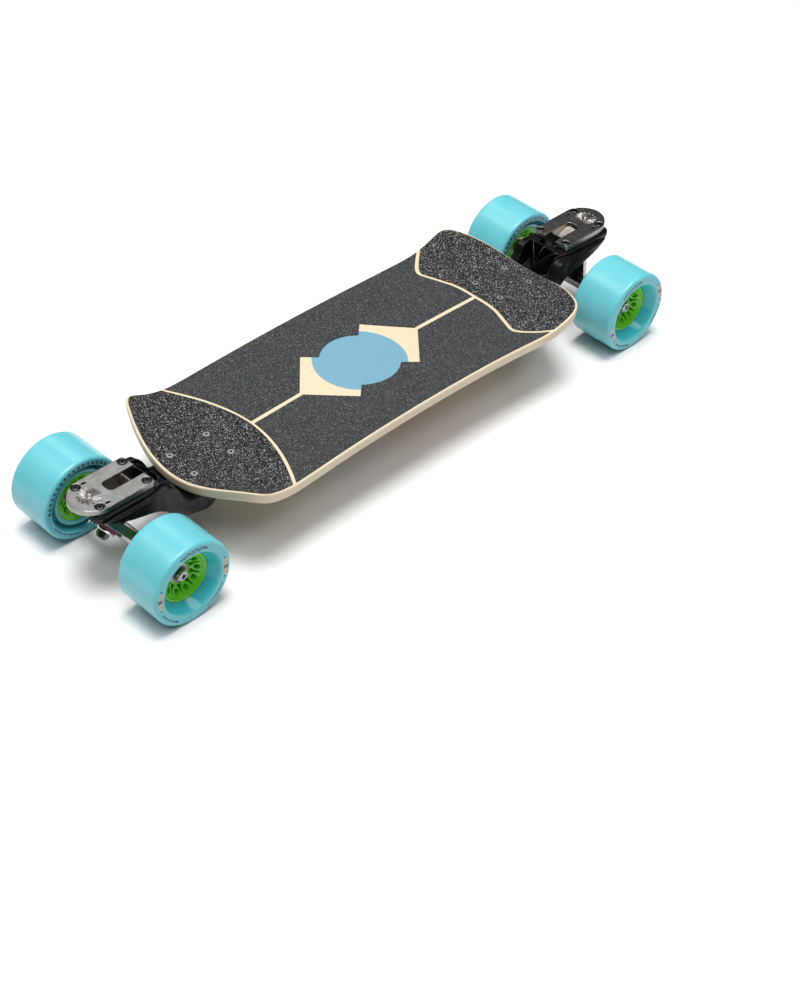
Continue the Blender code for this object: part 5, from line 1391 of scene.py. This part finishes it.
    # faint lines left by turning on the tread
    lines = g.noise(1.0, 2.0, 0.5, g.vec(0.0, g.math("MULTIPLY", g.y, 1.2), 0.0))
    g.set("Normal", g.bump(g.math("MULTIPLY", lines, ground), 0.004))
    g.set("Specular IOR Level", g.span(ground, 0.0, 1.0, 0.34, 0.55))
    g.p.inputs["Subsurface Weight"].default_value = 0.12
    g.p.inputs["Subsurface Scale"].default_value = 0.003
    g.p.inputs["Subsurface Radius"].default_value = (0.25, 0.9, 1.0)
    return g.m


def mat_core():
    g = Graph("core_green_plastic", rough=0.32)
    wide = g.noise(12.0, 3.0)
    fine = g.noise(0.9, 3.0)
    g.set("Base Color", g.ramp(wide, [(0.3, (0.125, 0.540, 0.018)), (0.7, (0.155, 0.620, 0.026))]))
    g.set("Roughness", g.span(fine, 0.3, 0.7, 0.20, 0.28))
    g.set("Normal", g.bump(fine, 0.006))
    g.p.inputs["Subsurface Weight"].default_value = 0.15
    g.p.inputs["Subsurface Scale"].default_value = 0.003
    g.p.inputs["Subsurface Radius"].default_value = (0.2, 1.0, 0.2)
    return g.m


def mat_bearing():
    """Steel races with a dark seal between them."""
    g = Graph("bearing_seal", rough=0.4)
    r = g.math("SQRT", g.math("ADD", g.math("MULTIPLY", g.x, g.x), g.math("MULTIPLY", g.z, g.z)))
    seal = g.between(r, 6.5, 9.4, 0.06)
    f = g.noise(0.8, 3.0)
    seal_col = g.ramp(f, [(0.3, (0.085, 0.055, 0.055)), (0.7, (0.130, 0.088, 0.088))])
    steel_col = g.ramp(f, [(0.3, (0.34, 0.31, 0.31)), (0.7, (0.44, 0.41, 0.41))])
    g.set("Base Color", g.mix(seal, steel_col, seal_col))
    g.set("Metallic", g.math("SUBTRACT", 1.0, seal))
    g.set("Roughness", g.span(seal, 0.0, 1.0, 0.22, 0.45))
    return g.m


def mat_nut():
    """Bright nut with a pale nylon collar at its outer end."""
    g = Graph("axle_nut_steel", rough=0.2, metal=1.0)
    f = g.noise(0.8, 3.0)
    y0 = BEARING_OUT + BEARING_W + GAP - WHEEL_MID
    col = g.math("GREATER_THAN", g.y, y0 + 4.85)
    g.set("Base Color", g.mix(col, g.ramp(f, [(0.3, (0.34, 0.34, 0.35)), (0.7, (0.46, 0.46, 0.47))]), (0.50, 0.50, 0.52)))
    g.set("Roughness", g.span(f, 0.3, 0.7, 0.16, 0.28))
    return g.m


# ---------------------------------------------------------------- putting the pieces in place
def put(o, node, mats, body):
    o.name = node + "_fine"
    o.data.name = o.name
    index = np.zeros(len(o.data.polygons), np.int32)
    o.data.polygons.foreach_get("material_index", index)
    o.data.materials.clear()
    for m in (mats if isinstance(mats, (list, tuple)) else [mats]):
        o.data.materials.append(m)
    o.data.polygons.foreach_set("material_index", index)
    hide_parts(node)
    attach(o, body)
    return o


def copy(o, turn=False, place=None, angle=0.0, roll=0.0):
    """A copy with a mesh of its own: turned half round Z for the tail, or set at a place."""
    me = o.data.copy()
    c = link(o.name + "_copy", me)
    if turn:
        me.transform(Matrix.Rotation(math.pi, 4, "Z"))
    if roll:
        me.transform(Matrix.Rotation(roll, 4, "Y"))
    if place is not None:
        c.location = tuple(v * MM for v in place)
        c.rotation_euler = (0.0, 0.0, angle)
    return c


def drop(*objs):
    for o in objs:
        m = o.data
        bpy.data.objects.remove(o, do_unlink=True)
        bpy.data.meshes.remove(m)


def build():
    top, rail, bottom = mat_deck_top(), mat_deck_rail(), mat_deck_bottom()
    coarse, fine = mat_grip(True), mat_grip(False)
    black = mat_bracket()
    cast_top, cast_arm = mat_baseplate(), mat_hanger()
    chrome = mat_metal("chrome_plate", (0.78, 0.78, 0.80), 0.12)
    pin_mat = mat_metal("kingpin_steel", (0.32, 0.32, 0.33), 0.2)
    bolt_mat = mat_bolt("bolt_black", (0.070, 0.068, 0.070), 0.36)
    deck_bolt_mat = mat_bolt("deck_bolt_grey", (0.40, 0.395, 0.385), 0.42, 0.75, 2.1)
    axle_mat, bush_mat = mat_axle(), mat_bushing()
    tyre_mat, core_mat, bearing_mat, nut_mat = mat_tyre(), mat_core(), mat_bearing(), mat_nut()

    put(make_deck(), "deck", [top, rail, bottom], "board")
    put(make_pad("p", True), "grip_nose", coarse, "board")
    put(make_pad("p", False), "grip_tail", coarse, "board")
    put(make_middle("m", 1), "grip_left", fine, "board")
    put(make_middle("m", -1), "grip_right", fine, "board")

    bracket, base, hang = make_bracket(), make_baseplate(), make_hanger()
    pin = make_kingpin()
    bush_b = bushing("bb", [(-18.2, 5.4), (-18.2, 11.0), (-17.0, 12.0), (-9.0, 12.9), (-6.8, 12.4), (-6.8, 5.4)], [0.3, 1.0, 1.0, 1.6, 0.6, 0.3])
    bush_r = bushing("br", [(-3.3, 5.4), (-3.3, 10.8), (4.8, 10.8), (4.8, 13.2), (8.3, 11.2), (9.6, 10.2), (9.6, 5.4)], [0.3, 0.3, 0.2, 1.2, 1.0, 0.8, 0.3])
    wash_b = bushing("wb", [(-19.8, 5.4), (-19.8, 12.4), (-17.4, 13.4), (-17.4, 12.6), (-18.5, 11.9), (-18.5, 5.4)], [0.2, 1.0, 0.3, 0.3, 0.8, 0.2])
    wash_r = bushing("wr", [(11.5, 5.4), (11.5, 11.2), (8.6, 12.3), (8.6, 11.6), (9.9, 10.7), (9.9, 5.4)], [0.2, 1.0, 0.3, 0.3, 0.8, 0.2])
    axle = smooth(turned("axle", [(-107.8, 0.0), (-107.8, 3.3), (-107.1, AXLE_R), (107.1, AXLE_R), (107.8, 3.3), (107.8, 0.0)], AXLE_PT, (0, 1, 0), 40), 40)
    tyre, core, nut = make_tyre(), make_core(), make_axle_nut()
    bear_in, bear_out = make_bearing(BEARING_IN), make_bearing(BEARING_OUT)
    tbolt = make_bolt("tb", 0.0, 4.6, -20.8 - 0.3, -23.7, 5.0, False)

    for tag, sx in (("nose", 1), ("tail", -1)):
        t = sx < 0
        for src, node, slot, m, body in (
                (bracket, "bracket_", "bracket_black", black, "board"),
                (base, "baseplate_", "cast_metal", cast_top, "board"),
                (pin, "kingpin_", "chrome", pin_mat, "board"),
                (bush_b, "bushing_board_", "bushing_red", bush_mat, "board"),
                (bush_r, "bushing_road_", "bushing_red", bush_mat, "board"),
                (wash_b, "washer_board_", "chrome", chrome, "board"),
                (wash_r, "washer_road_", "chrome", chrome, "board"),
                (hang, "hanger_", "cast_metal", cast_arm, "truck_" + tag),
                (axle, "axle_", "steel", axle_mat, "truck_" + tag)):
            put(copy(src, turn=t), node + tag, m, body)
        for i, bx in enumerate(TRUCK_BOLT_X):
            for j, sy in enumerate((-1, 1)):
                c = copy(tbolt, place=(sx * bx, sx * sy * BOLT_Y, BASE_TOP + 0.3))
                put(c, "truck_bolt_%s_%d" % (tag, 2 * i + j + 1), bolt_mat, "board")
        for i, bx in enumerate(DECK_BOLT_X):
            for j, sy in enumerate((-1, 1)):
                x, y = sx * bx, sy * sx * BOLT_Y
                z = deck_top(x, y) + 0.9
                low = (55.1 if bx < 240 else 58.7) - z
                b = make_bolt("db", 0.0, 4.05, low, low - 1.2, 4.9, True)
                b.location = (x * MM, y * MM, z * MM)
                put(b, "deck_bolt_%s_%d" % (tag, 2 * i + j + 1), deck_bolt_mat, "board")
        for side, sy in (("left", 1), ("right", -1)):
            w = tag + "_" + side
            place, ang = (sx * AXLE_X, sy * WHEEL_MID, WHEEL_R), 0.0 if sy > 0 else math.pi
            roll = math.radians({"nose_right": 17.0, "tail_right": -3.0}.get(w, 0.0))
            for src, node, slot, m, body in (
                    (tyre, "tyre_", "tyre_blue", tyre_mat, "wheel_" + w), (core, "core_", "core_green", core_mat, "wheel_" + w),
                    (bear_in, "bearing_inner_", "bearing_dark", bearing_mat, "wheel_" + w), (bear_out, "bearing_outer_", "bearing_dark", bearing_mat, "wheel_" + w),
                    (nut, "axle_nut_", "steel", nut_mat, "truck_" + tag)):
                put(copy(src, place=place, angle=ang, roll=roll), node + w, mat_tyre(roll) if roll and m is tyre_mat else m, body)
    drop(bracket, base, hang, pin, bush_b, bush_r, wash_b, wash_r, axle, tyre, core, nut, bear_in, bear_out, tbolt)


# ---------------------------------------------------------------- camera, floor and light
def camera():
    a, e, roll = math.radians(42.954), math.radians(41.0669), math.radians(3.04)
    dist, f, tx, ty = 2317.7339, 2022.6479, -62.3676, -133.6232
    d = Vector((math.cos(e) * math.cos(a), math.cos(e) * math.sin(a), -math.sin(e)))
    r = Vector((math.sin(a), -math.cos(a), 0.0))
    u = r.cross(d)
    r2 = math.cos(roll) * r + math.sin(roll) * u
    u2 = -math.sin(roll) * r + math.cos(roll) * u
    pos = (Vector((tx, ty, 0.0)) - d * dist) * MM
    data = bpy.data.cameras.new("camera")
    data.sensor_fit = "AUTO"
    data.sensor_width = 36.0
    data.lens = f * 36.0 / 1000.0
    data.clip_start, data.clip_end = 0.05, 60.0
    cam = bpy.data.objects.new("camera", data)
    bpy.context.scene.collection.objects.link(cam)
    m = Matrix((r2, u2, -d)).transposed().to_4x4()
    m.translation = pos
    cam.matrix_world = m
    bpy.context.scene.camera = cam
    return cam


def area(name, place, aim, size, power, colour=(1, 1, 1), size_y=None, glossy=True):
    d = bpy.data.lights.new(name, "AREA")
    d.shape = "RECTANGLE"
    d.size, d.size_y = size, size_y or size
    d.energy = power
    d.color = colour
    o = bpy.data.objects.new(name, d)
    bpy.context.scene.collection.objects.link(o)
    o.location = place
    o.visible_glossy = glossy
    o.rotation_mode = "QUATERNION"
    o.rotation_quaternion = (Vector(aim) - Vector(place)).to_track_quat("-Z", "Y")
    return o


def soft(name, towards, power, glossy=True):
    """Broad light from far away."""
    d = bpy.data.lights.new(name, "SUN")
    d.energy = power
    d.angle = 0.47
    o = bpy.data.objects.new(name, d)
    bpy.context.scene.collection.objects.link(o)
    o.visible_glossy = glossy
    o.location = Vector(towards) * 3.0
    o.rotation_mode = "QUATERNION"
    o.rotation_quaternion = Vector(towards).to_track_quat("Z", "Y")
    return o


def stage():
    me = bpy.data.meshes.new("floor")
    ring = [(1.15 * math.cos(2 * math.pi * i / 96), 1.15 * math.sin(2 * math.pi * i / 96), 0.0) for i in range(96)]
    me.from_pydata(ring, [], [tuple(range(96))])
    floor = link("floor", me)
    g = Graph("floor_paper", (0.80, 0.80, 0.80), 0.9)
    me.materials.append(g.m)
    w = bpy.data.worlds.new("studio")
    bpy.context.scene.world = w
    w.use_nodes = True
    bg = w.node_tree.nodes["Background"]
    bg.inputs["Color"].default_value = (1.0, 1.0, 1.0, 1.0)
    # pale behind the board, dim as a light, so that shadows stay clear
    path, level = w.node_tree.nodes.new("ShaderNodeLightPath"), w.node_tree.nodes.new("ShaderNodeMapRange")
    level.inputs["To Min"].default_value = 0.02
    level.inputs["To Max"].default_value = 1.0
    w.node_tree.links.new(path.outputs["Is Camera Ray"], level.inputs["Value"])
    w.node_tree.links.new(level.outputs["Result"], bg.inputs["Strength"])
    soft("top", (0.0, 0.0, 1.0), 2.95)
    soft("side_left", (-0.234, 0.406, 0.883), 0.52)
    soft("side_tail", (-0.469, 0.0, 0.883), 0.39)
    soft("side_right", (-0.234, -0.406, 0.883), 0.43, glossy=False)
    soft("side_nose", (0.469, 0.0, 0.883), 0.28)
    area("side_strip", (0.42, -1.42, 2.20), (-0.25, -0.11, 0.05), 1.45, 8.5, size_y=0.46)
    area("back", (1.046, 1.964, 2.202), (-0.38, 0.0, 0.10), 0.95, 5.6)
    bpy.context.scene.view_settings.view_transform = "Standard"
    bpy.context.scene.view_settings.look = "None"


build()
camera()
stage()
